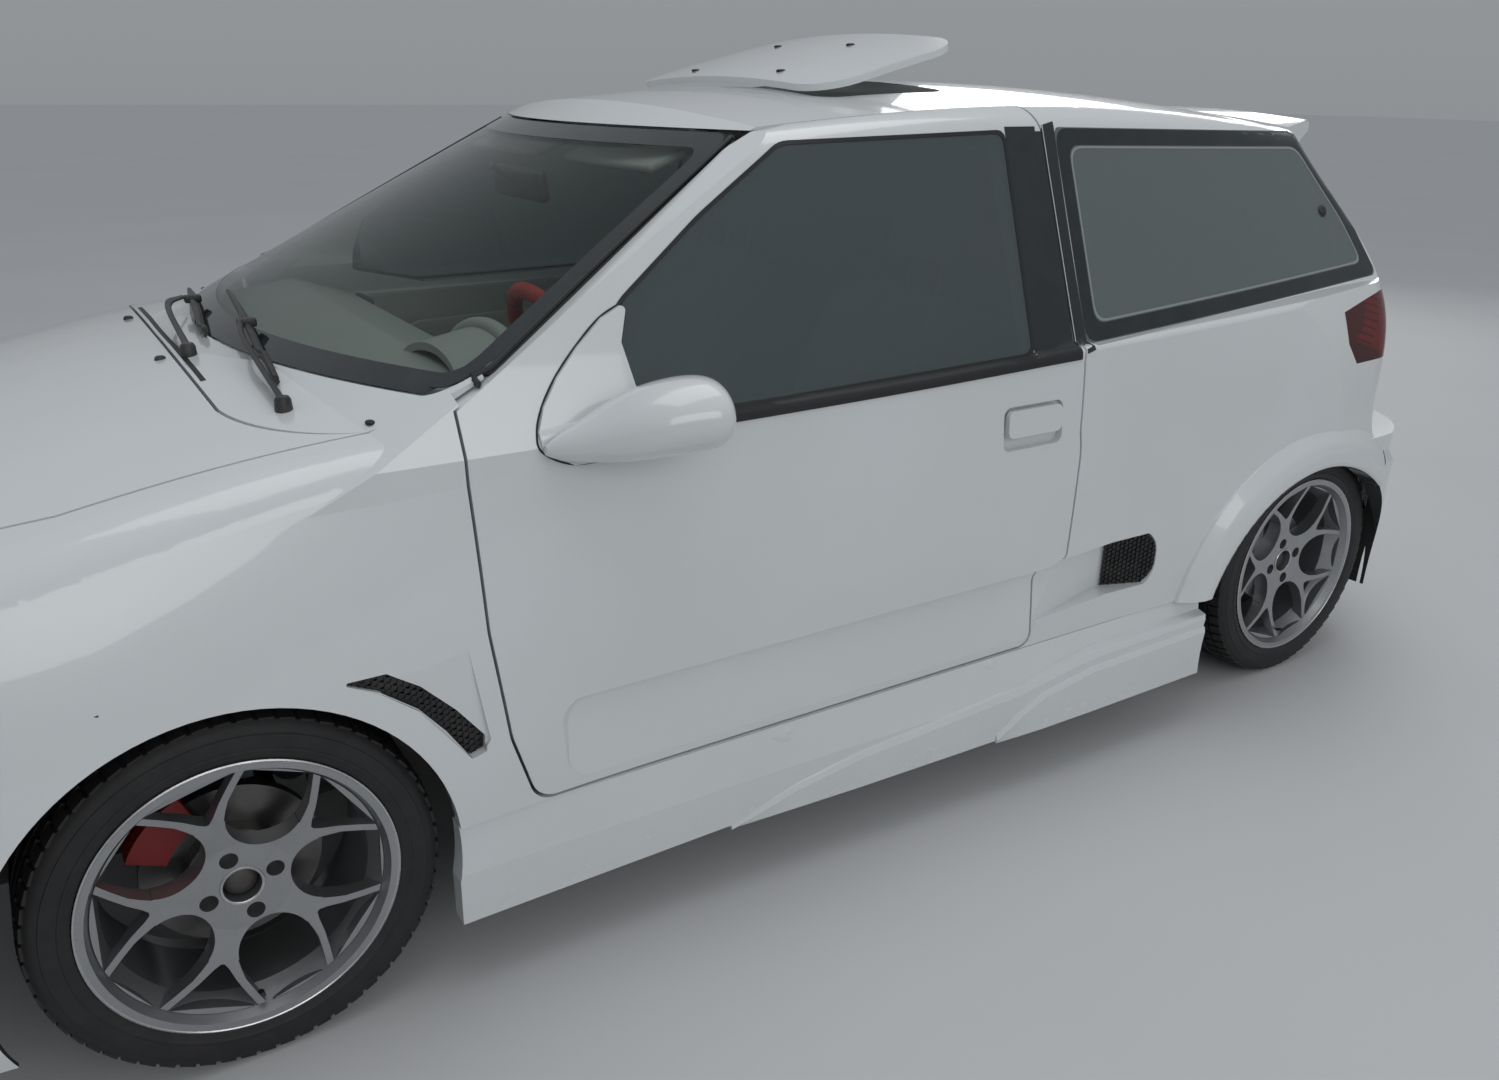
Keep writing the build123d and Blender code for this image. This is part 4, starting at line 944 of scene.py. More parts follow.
def springMesh(shape):
    foot, head = Vector(shape["foot"]), Vector(shape["head"])
    mesh = coil.grow(Turns=shape["turns"], Radius=shape["radius"], Height=(head - foot).length,
                     Wire=shape["wire"], Finish=looks["springPaint"])
    turn = (head - foot).to_track_quat("Z", "Y").to_matrix().to_4x4()
    mesh.transform(Matrix.Translation(foot) @ turn)
    return mesh


def bothSides(name, mesh, look, body="body", angle=40):
    # the left piece and its mirror image, on a body whose name may hold the side
    placed(f"{name}_left", mesh, look, body.format("left"), angle)
    placed(f"{name}_right", moved(mesh, mirrorY), look, body.format("right"), angle)


bothSides("front_spring", springMesh(springShape), "springPaint", "{}_knuckle", 50)

# Outer skins that thin pieces are laid on

sideNames = ["door_left", "body_sides", "door_glass_left", "quarter_windows", "front_wings", "roof_panel",
             "side_skirts", "rear_bumper", "front_bumper"]
sideSkin = Skin(sideNames, 1, 1)
topSkin = Skin(["bonnet", "scuttle_panel", "windscreen", "roof_panel", "front_wings", "tailgate"], 2, 1)
frontSkin = Skin(["windscreen"], 0, 1)
tailSkin = Skin(["tailgate", "rear_window", "rear_bumper"], 0, -1)

# Black bands round the side windows

windowTrim = {
    "doorGlass": [(0.548, 0.938), (0.360, 0.893), (-0.333, 0.906), (-0.362, 1.303), (0.155, 1.290),
                  (0.340, 1.183), (0.515, 1.064)],
    "beltTop": [(0.372, 0.9005), (0.20, 0.9005), (0.0, 0.9035), (-0.20, 0.9075), (-0.330, 0.9110),
                (-0.4375, 0.9140)],
    "beltFoot": [(0.400, 0.8750), (0.20, 0.8780), (0.0, 0.8815), (-0.20, 0.8860), (-0.330, 0.8895),
                 (-0.4365, 0.8920)],
    "pillarFront": [(-0.334, 0.9080), (-0.340, 1.00), (-0.349, 1.12), (-0.358, 1.24), (-0.364, 1.309)],
    "pillarRear": [(-0.4390, 0.9080), (-0.4440, 1.00), (-0.4494, 1.12), (-0.4545, 1.24), (-0.4576, 1.309)],
    "postFront": [(-0.4480, 0.9000), (-0.4520, 1.00), (-0.4572, 1.12), (-0.4623, 1.24), (-0.4660, 1.312)],
    "postRear": [(-0.4760, 0.9060), (-0.4780, 1.00), (-0.4830, 1.12), (-0.4900, 1.24), (-0.4950, 1.318)],
    "strips": (  # name, its two edges, squares across, lift, depth, look, body on each side, angle
        ("belt_strip", "beltTop", "beltFoot", 10, 0.0030, 0.0040, "sealRubber", "{}_door", 50),
        ("door_pillar", "pillarFront", "pillarRear", 6, 0.0012, 0.0016, "pillarBlack", "{}_door", 40),
        ("post_strip", "postFront", "postRear", 5, 0.0012, 0.0016, "pillarBlack", "body", 40),
    ),
}
for name, edgeA, edgeB, across, lift, depth, look, body, angle in windowTrim["strips"]:
    strip = band(sideSkin, windowTrim[edgeA], windowTrim[edgeB], 60, across, lift, depth)
    bothSides(name, strip, look, body, angle)
gapLine = [sideSkin.at(x, z, -0.0014) + Vector((0.0034, 0, 0))
           for x, z, _ in flatLine(windowTrim["postFront"], 40)]
bothSides("pillar_gap_seal", tube(gapLine, 0.0019, 8), "sealRubber")

quarterTrim = {
    "edge": [(-0.4755, 0.9125), (-1.5375, 0.9655), (-1.4615, 1.1100), (-1.3155, 1.2905), (-0.4955, 1.3075)],
    "glintInset": 0.034, "glintWidth": 0.004, "fritWidth": 0.032,
    "knob": (-1.356, 1.116),
}


def ringBand(skin, outline, start, end, corner, samples, lift, depth, across=2):
    outerLine = roundedOutline(inset(outline, start), corner + 0.001)
    innerLine = roundedOutline(inset(outline, end), corner)
    return band(skin, outerLine, innerLine, samples, across, lift, depth, loop=True)


frit = ringBand(sideSkin, quarterTrim["edge"], 0.0015, quarterTrim["fritWidth"], 0.03, 220, 0.0004, 0.0006, 3)
bothSides("quarter_frit", frit, "fritBlack")
# a painted highlight: a pale line laid on the quarter glass just inside the frit, standing for the glint
# along the glass's edge
paintedGlint = ringBand(sideSkin, quarterTrim["edge"], quarterTrim["glintInset"],
                quarterTrim["glintInset"] + quarterTrim["glintWidth"], 0.03, 220, 0.0004, 0.0006, 1)
bothSides("quarter_line", paintedGlint, "paleLine")
knobX, knobZ = quarterTrim["knob"]
knobPlace = sideSkin.at(knobX, knobZ, 0.001)
knobOut = (sideSkin.at(knobX, knobZ, 1.0) - knobPlace).normalized()
knob = lathe([(0.0, 0.006), (0.008, 0.0055), (0.0125, 0.003), (0.014, 0.0), (0.014, -0.004), (0.0, -0.004)],
             32, False)
knob.transform(Matrix.Translation(knobPlace) @ knobOut.to_track_quat("Y", "Z").to_matrix().to_4x4())
bothSides("quarter_knob", knob, "blackTrim")
doorSkin = Skin(["door_left", "door_glass_left"], 1, 1)
doorSeal = ringBand(doorSkin, windowTrim["doorGlass"], -0.0012, 0.0055, 0.02, 240, 0.0010, 0.0030)
bothSides("door_glass_seal", doorSeal, "sealRubber", "{}_door")
sailEdge = [(0.498, 1.068), (0.545, 1.048), (0.594, 1.011), (0.635, 0.973), (0.665, 0.935), (0.680, 0.902),
            (0.677, 0.874), (0.630, 0.849), (0.556, 0.849)]
sailLine = [doorSkin.at(x + 0.0006, z, 0.0004) for x, z, _ in flatLine(sailEdge, 80)]
bothSides("mirror_seal", tube(sailLine, 0.0016, 8), "sealRubber", "{}_door")
print("side windows trimmed")

# Windscreen: black edge band, side seals, wipers

screenTrim = {
    "edge": [(-0.722, 0.957), (0.722, 0.957), (0.5155, 1.3015), (-0.5155, 1.3015)],
    "bandWidth": 0.024,
    "seal": ((0.0040, 0.0072), (0.0125, 0.0095)),  # depth and outward shift of the side seal's two lips
}
screenFrit = ringBand(frontSkin, screenTrim["edge"], 0.0008, screenTrim["bandWidth"], 0.03, 260,
                      0.0005, 0.0008, 3)
placed("screen_frit", screenFrit, "fritBlack", "body")
(_, _), (footY, footZ), (headY, headZ), _ = screenTrim["edge"]
sealLine = straight((footY - 0.004, footZ + 0.004), (headY - 0.004, headZ - 0.004), 30)
lips = [tube([frontSkin.at(y, z, -deep) + Vector((0, outward, 0)) for y, z in sealLine], 0.0052, 12)
        for deep, outward in screenTrim["seal"]]
bothSides("screen_side_seal", joined(*lips), "sealRubber")

wiper = {
    "arms": (  # pivot, bend and tip of the arm, then the blade's two ends, all in plan
        ((0.985, 0.545), (0.985, 0.300), (0.948, 0.150), (0.972, 0.455), (0.930, -0.080)),
        ((1.058, 0.215), (1.045, -0.060), (0.985, -0.230), (1.010, 0.090), (0.950, -0.420)),
    ),
    "armWidth": 0.0085, "lift": 0.020, "samples": 30,
    "links": (0.12, 0.34, 0.5, 0.66, 0.88),  # where links join the blade's bar and lip
}


def wiperMesh(pivot, bend, tip, bladeStart, bladeEnd, setup):
    lift, last = setup["lift"], setup["samples"] - 1
    hub = topSkin.at(*pivot, 0.001)
    post = stood(lathe([(0.0, 0.020), (0.009, 0.019), (0.012, 0.014), (0.013, 0.0), (0.013, -0.008),
                        (0.0, -0.008)], 24, False), hub)
    armLine = smoothLine([hub + Vector((0, 0, 0.012)), topSkin.at(*bend, lift + 0.014),
                          topSkin.at(*tip, lift + 0.004)], 24)
    arm = tube(armLine, [setup["armWidth"] * (1.15 - 0.65 * k / 23) for k in range(24)], 10, 0.42)
    blade = straight(bladeStart, bladeEnd, setup["samples"])
    bows = [sin(pi * k / last) for k in range(setup["samples"])]
    spine = [topSkin.at(x, y, 0.014 + 0.004 * bow) for (x, y), bow in zip(blade, bows)]
    frameBar = tube(spine, [0.0052 + 0.002 * bow for bow in bows], 8, 0.75)
    lipLine = [topSkin.at(x, y, 0.0055) for x, y in blade]
    lip = tube(lipLine, 0.0032, 6, 1.7)
    joints = [round(t * last) for t in setup["links"]]
    links = [tube([spine[k], lipLine[k]], 0.0042, 6) for k in joints]
    hinge = slab((0.030, 0.020, 0.014), spine[round(0.5 * last)] + Vector((0, 0, 0.004)), None, 0.003)
    return joined(post, arm, frameBar, lip, hinge, *links)


for number, arm in enumerate(wiper["arms"]):
    placed(f"wiper_{number + 1}", wiperMesh(*arm, wiper), "blackTrim", "body", 40)

scuttleTrim = {
    "grooveFront": [(1.066, 0.36), (1.072, 0.18), (1.074, 0.0), (1.072, -0.18), (1.066, -0.36)],
    "grooveRear": [(1.058, 0.36), (1.064, 0.18), (1.066, 0.0), (1.064, -0.18), (1.058, -0.36)],
    "plug": (0.893, 0.660),
    "nozzles": ((1.100, 0.200), (1.100, -0.200)),
}
groove = band(topSkin, scuttleTrim["grooveFront"], scuttleTrim["grooveRear"], 40, 1, 0.0006, 0.001)
placed("scuttle_groove", groove, "sealRubber", "body")


def plugMesh(place, radius, height, squash=1.0):
    # a low domed plug standing on a skin
    mesh = lathe([(0.0, height), (radius * 0.6, height * 0.9), (radius * 0.92, height * 0.5), (radius, 0.0),
                  (radius, -0.002), (0.0, -0.002)], 28, False)
    mesh.transform(Matrix.Diagonal((1, 1, squash, 1)))
    return stood(mesh, place)


x, y = scuttleTrim["plug"]
plugs = [plugMesh(topSkin.at(x, y * side, 0.0003), 0.007, 0.003, 1.4) for side in (1, -1)]
placed("scuttle_plugs", joined(*plugs), "sealRubber", "body")
jets = [plugMesh(topSkin.at(x, y, 0.0003), 0.009, 0.006, 0.7) for x, y in scuttleTrim["nozzles"]]
placed("washer_jets", joined(*jets), "blackTrim", "bonnet")
print("windscreen dressed")

# Honeycomb in the side vents

combSetup = {"cell": 0.0105, "wall": 0.0016, "depth": 0.0035, "columns": 200, "rows": 30,
             "start": (-0.74, 1.2, 0.34)}


def honeycomb(name, target, start, ray, turn, across, along, cell):
    mesh = combs.grow(Cell=cell, Across=across, Along=along, Wall=combSetup["wall"],
                      Depth=combSetup["depth"], Start=start, Ray=ray, Turn=turn, Target=target,
                      Finish=looks["meshBlack"])
    placed(name, mesh, "meshBlack", "body", 20)


startX, startY, startZ = combSetup["start"]
for hand, side in (("left", 1), ("right", -1)):
    honeycomb(f"side_mesh_{hand}", nodes["side_vents"], (startX, side * startY, startZ),
              (0.0, -1.0 * side, 0.0), (pi / 2, 0.0, 0.0), combSetup["columns"], combSetup["rows"],
              combSetup["cell"])
print("vents meshed")

# Lamps

lampSkin = Skin(["headlamps"], 0, 1)
headlamp = {
    "bowls": ((0.556, 0.664, 0.045, 0.040), (0.668, 0.664, 0.042, 0.046)),  # Y, Z, radius and how deep
    "bowlTurn": 0.35, "backing": -0.084,
    "amber": (0.742, 0.672), "amberTurn": 0.6,
}


def bowlMesh(radius):
    # a reflector bowl with its bulb, opening along +Y
    bowl = lathe([(radius, 0.0), (radius * 0.96, -0.010), (radius * 0.80, -0.024), (radius * 0.5, -0.034),
                  (0.012, -0.038), (0.012, -0.041), (radius * 0.52, -0.037), (radius * 0.84, -0.027),
                  (radius * 1.0, -0.012), (radius * 1.04, 0.0)], 48)
    bulb = lathe([(0.0, -0.006), (0.006, -0.009), (0.0075, -0.018), (0.0075, -0.038), (0.0, -0.038)],
                 20, False)
    cap = lathe([(0.0, -0.001), (0.008, -0.0025), (0.0095, -0.007), (0.0, -0.008)], 20, False)
    return bowl, joined(bulb, cap)


def lampParts():
    bowls, bulbs, frames = [], [], []
    turn, facing = Matrix.Rotation(headlamp["bowlTurn"], 4, "Z"), Matrix.Rotation(-pi / 2, 4, "Z")
    for y, z, radius, deep in headlamp["bowls"]:
        bowl, bulb = bowlMesh(radius)
        surface = lampSkin.at(y, z, 0.0)
        place = Matrix.Translation(surface + Vector((-deep, 0, 0))) @ turn @ facing
        bowls.append(moved(bowl, place))
        bulbs.append(moved(bulb, place))
        frames.append(moved(lathe([(radius * 1.03, 0.001), (radius * 1.10, 0.003), (radius * 1.16, 0.0),
                                   (radius * 1.10, -0.004), (radius * 1.03, -0.003)], 48), place))
    return joined(*bowls), joined(*bulbs), joined(*frames)


bowls, bulbs, frames = lampParts()
bothSides("lamp_bowl", bowls, "mirrorMetal", "body", 60)
bothSides("lamp_bulb", bulbs, "bulbGlass", "body", 40)
bothSides("lamp_frame", frames, "steel", "body", 40)
bezel = band(lampSkin, [(0.515, 0.735), (0.62, 0.737), (0.72, 0.737), (0.778, 0.730)],
             [(0.505, 0.612), (0.62, 0.612), (0.72, 0.612), (0.778, 0.614)], 30, 8,
             headlamp["backing"], 0.002)
bothSides("lamp_bezel", bezel, "blackTrim", "body", 60)
amberPlace = lampSkin.at(*headlamp["amber"]) + Vector((-0.018, 0, 0))
amber = stood(lathe([(0.0, 0.004), (0.016, 0.002), (0.026, -0.004), (0.030, -0.012), (0.0, -0.012)],
                    32, False), amberPlace, "Z", headlamp["amberTurn"] - pi / 2)
bothSides("lamp_indicator", amber, "amberLens", "body", 40)

tailLampSkin = Skin(["tail_lamps"], 0, -1)
tailRibs = {"foot": 0.790, "step": 0.0185, "count": 22, "height": 0.005}
ribs = []
for k in range(tailRibs["count"]):
    z = tailRibs["foot"] + tailRibs["step"] * k
    y0, y1 = (0.60, 0.70) if z < 0.925 else (0.56, 0.69 - (z - 0.93) * 0.36)
    low, high = [[(y, at) for y in (y0, (y0 + y1) / 2, y1)] for at in (z, z + tailRibs["height"])]
    ribs.append(band(tailLampSkin, low, high, 8, 1, -0.003, 0.003))
bothSides("tail_lamp_ribs", joined(*ribs), "redLens", "body", 40)
print("lamps filled")

# Blank number plates, rear wiper and tailgate handle

plates = {"size": (0.003, 0.52, 0.112), "frontZ": 0.415, "frontGap": 0.0100, "frontTilt": 0.34,
          "rearZ": 0.46, "rearGap": 0.0055, "lamp": (0.16, 0.545), "lampSize": (0.020, 0.090, 0.022)}


def plateMesh(x, z, tilt):
    plate = slab(plates["size"], (0, 0, 0), None, 0.0013, 2)
    rim = []
    for dy, dz, sy, sz in ((0, 0.0585, 0.53, 0.005), (0, -0.0585, 0.53, 0.005), (0.2625, 0, 0.005, 0.122),
                           (-0.2625, 0, 0.005, 0.122)):
        rim.append(slab((0.009, sy, sz), (0, dy, dz), None, 0.0015, 2))
    place = Matrix.Translation((x, 0, z)) @ Matrix.Rotation(tilt, 4, "Y")
    return moved(plate, place), moved(joined(*rim), place)


bumperFront = Skin(["front_bumper"], 0, 1)
frontX = bumperFront.at(0.0, plates["frontZ"], 0).x
backX = tailSkin.at(0.0, plates["rearZ"], 0).x
frontPlate, frontRim = plateMesh(frontX + plates["frontGap"], plates["frontZ"], plates["frontTilt"])
rearPlate, rearRim = plateMesh(backX - plates["rearGap"], plates["rearZ"], 0.0)
placed("plate_front", frontPlate, "plateWhite", "body")
placed("plate_rear", rearPlate, "plateWhite", "body")
placed("plate_rims", joined(frontRim, rearRim), "blackTrim", "body")
lampBar = slab(plates["lampSize"], tailSkin.at(*plates["lamp"], 0.008), None, 0.004)
placed("plate_lamps", joined(lampBar, moved(lampBar, mirrorY)), "darkPlastic", "body")

rearGlassSkin = Skin(["rear_window", "tailgate"], 0, -1)
rearTrim = {
    "edge": [(-0.500, 0.986), (0.500, 0.986), (0.4695, 1.2745), (-0.4695, 1.2745)],
    "pivot": (0.0, 0.955), "armTip": (0.185, 1.065), "blade": ((0.05, 1.005), (0.355, 1.130)),
    "wires": 11, "wireFoot": 1.035, "wireStep": 0.0205, "wireHeight": 0.0013,
    "grip": (0.0, 0.665), "lock": (0.115, 0.665),
}
rearFrit = ringBand(rearGlassSkin, rearTrim["edge"], 0.002, 0.030, 0.035, 240, 0.0004, 0.0006, 3)
placed("rear_frit", rearFrit, "fritBlack", "tailgate")
wires = []
for k in range(rearTrim["wires"]):
    z = rearTrim["wireFoot"] + rearTrim["wireStep"] * k
    half = 0.430 - (z - 1.0) * 0.08
    low, high = [[(y, at) for y in (-half, 0, half)] for at in (z, z + rearTrim["wireHeight"])]
    wires.append(band(rearGlassSkin, low, high, 30, 1, -0.0054, 0.0002))
placed("rear_heater", joined(*wires), "heaterLine", "tailgate")
hub = rearGlassSkin.at(*rearTrim["pivot"], 0.002)
post = stood(lathe([(0.0, 0.026), (0.012, 0.024), (0.016, 0.016), (0.019, 0.0), (0.019, -0.004),
                    (0.0, -0.004)], 32, False), hub, "Z")
armLine = smoothLine([hub + Vector((-0.018, 0, 0)), rearGlassSkin.at(0.09, 1.01, 0.028),
                      rearGlassSkin.at(*rearTrim["armTip"], 0.020)], 18)
bladeLine, lipLine = [[rearGlassSkin.at(y, z, lift) for y, z in straight(*rearTrim["blade"], 20)]
                      for lift in (0.013, 0.005)]
rearWiper = joined(post, tube(armLine, [0.009 - 0.00025 * k for k in range(18)], 10, 0.5),
                   tube(bladeLine, 0.0055, 8), tube(lipLine, 0.003, 6, 1.7))
placed("rear_wiper", rearWiper, "blackTrim", "tailgate")
grip = slab((0.020, 0.150, 0.030), tailSkin.at(*rearTrim["grip"], 0.006), None, 0.007, 3)
lock = stood(lathe([(0.0, 0.003), (0.010, 0.002), (0.012, 0.0), (0.012, -0.004), (0.0, -0.004)], 28, False),
             tailSkin.at(*rearTrim["lock"], 0.001), "Z")
placed("tailgate_grip", joined(grip, lock), "blackTrim", "tailgate")
print("tail dressed")

# Filler flap on the right rear side, door mirrors' glass, sunroof plugs

fillerFlap = {"edge": [(-1.06, 0.72), (-0.90, 0.72), (-0.90, 0.86), (-1.06, 0.86)], "corner": 0.03}
flapRing = roundedOutline(fillerFlap["edge"], fillerFlap["corner"])
flapLine = band(sideSkin, inset(flapRing, -0.001), inset(flapRing, 0.0012), 140, 1, 0.0003, 0.0006, loop=True)
placed("filler_flap_gap", moved(flapLine, mirrorY), "sealRubber", "body")

mirrorGlass = {"x": 0.4385, "y": 0.864, "z": 0.928, "halfY": 0.050, "halfZ": 0.037}


def mirrorGlassMesh(s):
    rings = []
    for scale, x in ((1.08, 0.0025), (1.08, -0.0005), (1.0, -0.0016), (0.96, -0.0012)):
        rings.append([(s["x"] + x, s["y"] + s["halfY"] * scale * cos(2 * pi * k / 48),
                       s["z"] + s["halfZ"] * scale * sin(2 * pi * k / 48)) for k in range(48)])
    return loft(rings)


bothSides("mirror_glass", mirrorGlassMesh(mirrorGlass), "mirrorMetal", "{}_door")

sunroof = {"plugs": ((-0.130, 0.172), (-0.130, -0.172), (-0.330, 0.138), (-0.330, -0.138))}
roofSkin = Skin(["sunroof_panel"], 2, 1)
domes = [plugMesh(roofSkin.at(x, y, 0.0002), 0.011, 0.003, 0.8) for x, y in sunroof["plugs"]]
placed("sunroof_plugs", joined(*domes), "sealRubber", "sunroof")

# Seats

seatShape = {
    "cushion": {"middle": (0.085, 0.375, 0.372), "across": (0, 0.205, 0), "along": (0.215, 0, 0.030),
                "top": 0.058, "foot": 0.075, "bolster": 0.036, "channels": (-0.45, 0.0, 0.45)},
    "back": {"middle": (-0.238, 0.375, 0.715), "across": (0, 0.200, 0), "along": (-0.110, 0, 0.270),
             "top": 0.066, "foot": 0.052, "bolster": 0.042, "channels": (-0.5, -0.15, 0.2, 0.55)},
    "head": {"middle": (-0.385, 0.375, 1.092), "across": (0, 0.120, 0), "along": (-0.016, 0, 0.058),
             "top": 0.036, "foot": 0.030, "bolster": 0.0, "channels": ()},
}


def padMesh(middle, across, along, top, foot, bolster, channels, columns=44, rows=52):
    # a stuffed pad: crowned, with side bolsters and sewn channels across its face
    middle, across, along = Vector(middle), Vector(across), Vector(along)
    normal = along.cross(across).normalized()
    if normal.dot(Vector((0.6, 0, 1))) < 0:
        normal = -normal
    verts = []
    for face in (1, -1):
        for j in range(rows + 1):
            v = -1 + 2 * j / rows
            for i in range(columns + 1):
                u = -1 + 2 * i / columns
                edge = 0.0
                if abs(u) < 1 and abs(v) < 1:
                    edge = ((1 - abs(u) ** 5) * (1 - abs(v) ** 5)) ** 0.42
                rounding = 1 - 0.055 * (u * v) ** 2
                height = edge * (top if face > 0 else foot)
                if face > 0:
                    height += edge * bolster * min(1.0, abs(u) / 0.78) ** 6
                    flat = max(0.0, 1 - (abs(u) / 0.70) ** 8)
                    for place in channels:
                        height -= 0.011 * edge * flat * max(0.0, 1 - abs(v - place) / 0.05) ** 0.7
                    seam = abs(abs(u) - 0.72)
                    height -= 0.009 * edge * max(0.0, 1 - seam / 0.045) ** 0.7
                verts.append(middle + across * (u * rounding) + along * (v * rounding)
                             + normal * (height * face))
    return shaped(verts, sheetFaces(columns, rows))


def padded(name, shape, look, body, replacing=None, side=1, shift=0.0):
    mesh = padMesh(**shape)
    if shift:
        mesh.transform(Matrix.Translation((0, shift, 0)))
    if side < 0:
        mesh = moved(mesh, mirrorY)
    piece = placed(name, mesh, look, body, 60)
    smooth = piece.modifiers.new("smooth", "SUBSURF")
    smooth.levels = smooth.render_levels = 1
    if replacing:
        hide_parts(replacing)


seatFrame = {
    "y": 0.375, "posts": (-0.05, 0.05), "rails": (-0.185, 0.185), "flanks": (-0.20, 0.20),
    "railSize": (0.40, 0.030, 0.030), "flankSize": (0.40, 0.030, 0.060), "panSize": (0.38, 0.36, 0.030),
    "dial": (-0.105, 0.59, 0.33),
}
for hand, side in (("left", 1), ("right", -1)):
    padded(f"seat_cushion_{hand}", seatShape["cushion"], "seatFabric", "body", "front_seats", side)
    padded(f"seat_back_{hand}", seatShape["back"], "seatFabric", "body", None, side)
    padded(f"seat_head_{hand}", seatShape["head"], "seatFabric", "body", None, side)
    posts, rails, flanks = [[side * (seatFrame["y"] + dy) for dy in seatFrame[key]]
                            for key in ("posts", "rails", "flanks")]
    metal = [tube([(-0.388, y, 1.05), (-0.360, y, 0.95)], 0.006, 12) for y in posts]
    metal += [slab(seatFrame["railSize"], (0.07, y, 0.222), None, 0.004) for y in rails]
    placed(f"seat_metal_{hand}", joined(*metal), "steel", "body")
    shell = [slab(seatFrame["flankSize"], (0.07, y, 0.285), None, 0.012, 3) for y in flanks]
    shell.append(slab(seatFrame["panSize"], (0.08, side * seatFrame["y"], 0.272), None, 0.01, 2))
    dial = lathe([(0.0, 0.016), (0.024, 0.015), (0.030, 0.009), (0.031, 0.0), (0.0, 0.0)], 32, False)
    dial.transform(Matrix.Translation(seatFrame["dial"]))
    shell.append(dial if side > 0 else moved(dial, mirrorY))
    placed(f"seat_base_{hand}", joined(*shell), "darkPlastic", "body")

benchShape = {
    "cushion": {"middle": (-0.895, 0.0, 0.470), "across": (0, 0.262, 0), "along": (0.200, 0, 0.026),
                "top": 0.055, "foot": 0.105, "bolster": 0.006, "channels": (-0.4, 0.1)},
    "back": {"middle": (-1.200, 0.0, 0.715), "across": (0, 0.262, 0), "along": (-0.066, 0, 0.172),
             "top": 0.060, "foot": 0.045, "bolster": 0.006, "channels": (-0.45, 0.0, 0.45)},
}
for number, shift in enumerate((0.268, -0.268)):
    padded(f"bench_cushion_{number + 1}", benchShape["cushion"], "seatFabric", "body",
           "rear_seat" if number == 0 else None, 1, shift)
    padded(f"bench_back_{number + 1}", benchShape["back"], "seatFabric", "body", None, 1, shift)
print("seats made")


# Cabin linings: headlining, floor pan, carpets, door cards

doorInner = Skin(["door_left"], 1, -1)
sideInner = Skin(["body_sides"], 1, -1, 0.2)
roofInner = Skin(["roof_panel"], 2, -1)
dashRear = Skin(["dashboard"], 0, -1)


def patch(skin, x0, x1, y0, y1, samples, across, lift, depth):
    # a rectangular lining between two lines on a skin
    edgeA, edgeB = straight((x0, y0), (x1, y0), 5), straight((x0, y1), (x1, y1), 5)
    return band(skin, edgeA, edgeB, samples, across, lift, depth)


linings = {
    "roof": (  # from X to X, from Y to Y, squares along and across
        (0.22, -0.09, -0.46, 0.46, 12, 20), (-0.432, -1.24, -0.46, 0.46, 20, 20),
        (-0.09, -0.432, 0.367, 0.46, 8, 3), (-0.09, -0.432, -0.46, -0.367, 8, 3),
    ),
    "floor": (
        (0.735, -0.625, -0.715, 0.715, 60, 90), (-0.695, -0.960, -0.715, 0.715, 8, 30),
        (-0.960, -1.640, -0.535, 0.535, 20, 20),
    ),
}
headlining = joined(*[patch(roofInner, *area, 0.004, 0.003) for area in linings["roof"]])
placed("headlining", headlining, "liningCloth", "body", 50)

# Floor pan: each strip's rows give the underside's X and Z, the top's X and Z, and the inner and outer Y

floorPan = {
    "bulkhead": ((0.905, 0.868, 0.889, 0.868, 0.0, 0.728), (0.905, 0.560, 0.889, 0.564, 0.0, 0.728),
                 (0.777, 0.330, 0.762, 0.334, 0.0, 0.728)),
    "floor": ((0.777, 0.330, 0.762, 0.334, 0.094, 0.728), (0.760, 0.300, 0.745, 0.304, 0.104, 0.728),
              (0.752, 0.185, 0.737, 0.201, 0.142, 0.728), (-0.640, 0.185, -0.629, 0.201, 0.142, 0.728),
              (-0.700, 0.330, -0.689, 0.346, 0.094, 0.728)),
    "tunnelEnd": ((-0.655, 0.330, -0.655, 0.346, 0.0, 0.100), (-0.700, 0.330, -0.700, 0.346, 0.0, 0.100)),
    "bootFront": ((-0.695, 0.330, -0.689, 0.346, 0.0, 0.728), (-0.968, 0.330, -0.968, 0.346, 0.0, 0.728)),
    "bootMiddle": ((-0.966, 0.330, -0.966, 0.346, 0.0, 0.5425), (-1.604, 0.330, -1.604, 0.346, 0.0, 0.5425)),
    "bootRear": ((-1.602, 0.330, -1.602, 0.346, 0.0, 0.700), (-1.640, 0.330, -1.640, 0.346, 0.0, 0.690),
                 (-1.670, 0.330, -1.670, 0.346, 0.0, 0.645)),
}
panRibs = {"x": 0.05, "y": (0.30, 0.45, 0.60), "z": 0.186, "size": (1.20, 0.045, 0.012)}


def stripMesh(rows):
    return loft([[(x0, inner, z0), (x0, outer, z0), (x1, outer, z1), (x1, inner, z1)]
                 for x0, z0, x1, z1, inner, outer in rows])


strips = [stripMesh(rows) for rows in floorPan.values()]
strips += [slab(panRibs["size"], (panRibs["x"], y, panRibs["z"]), None, 0.003, 2) for y in panRibs["y"]]
panHalf = joined(*strips)
panMesh = joined(panHalf, moved(panHalf, mirrorY))
floorTop = Skin(["floor_and_bulkhead"], 2, 1, -0.5, [panMesh])
placed("floor_pan", panMesh, "underseal", "body", 30)
carpets = joined(*[patch(floorTop, *area, 0.005, 0.004) for area in linings["floor"]])
placed("carpets", carpets, "carpet", "body", 50)

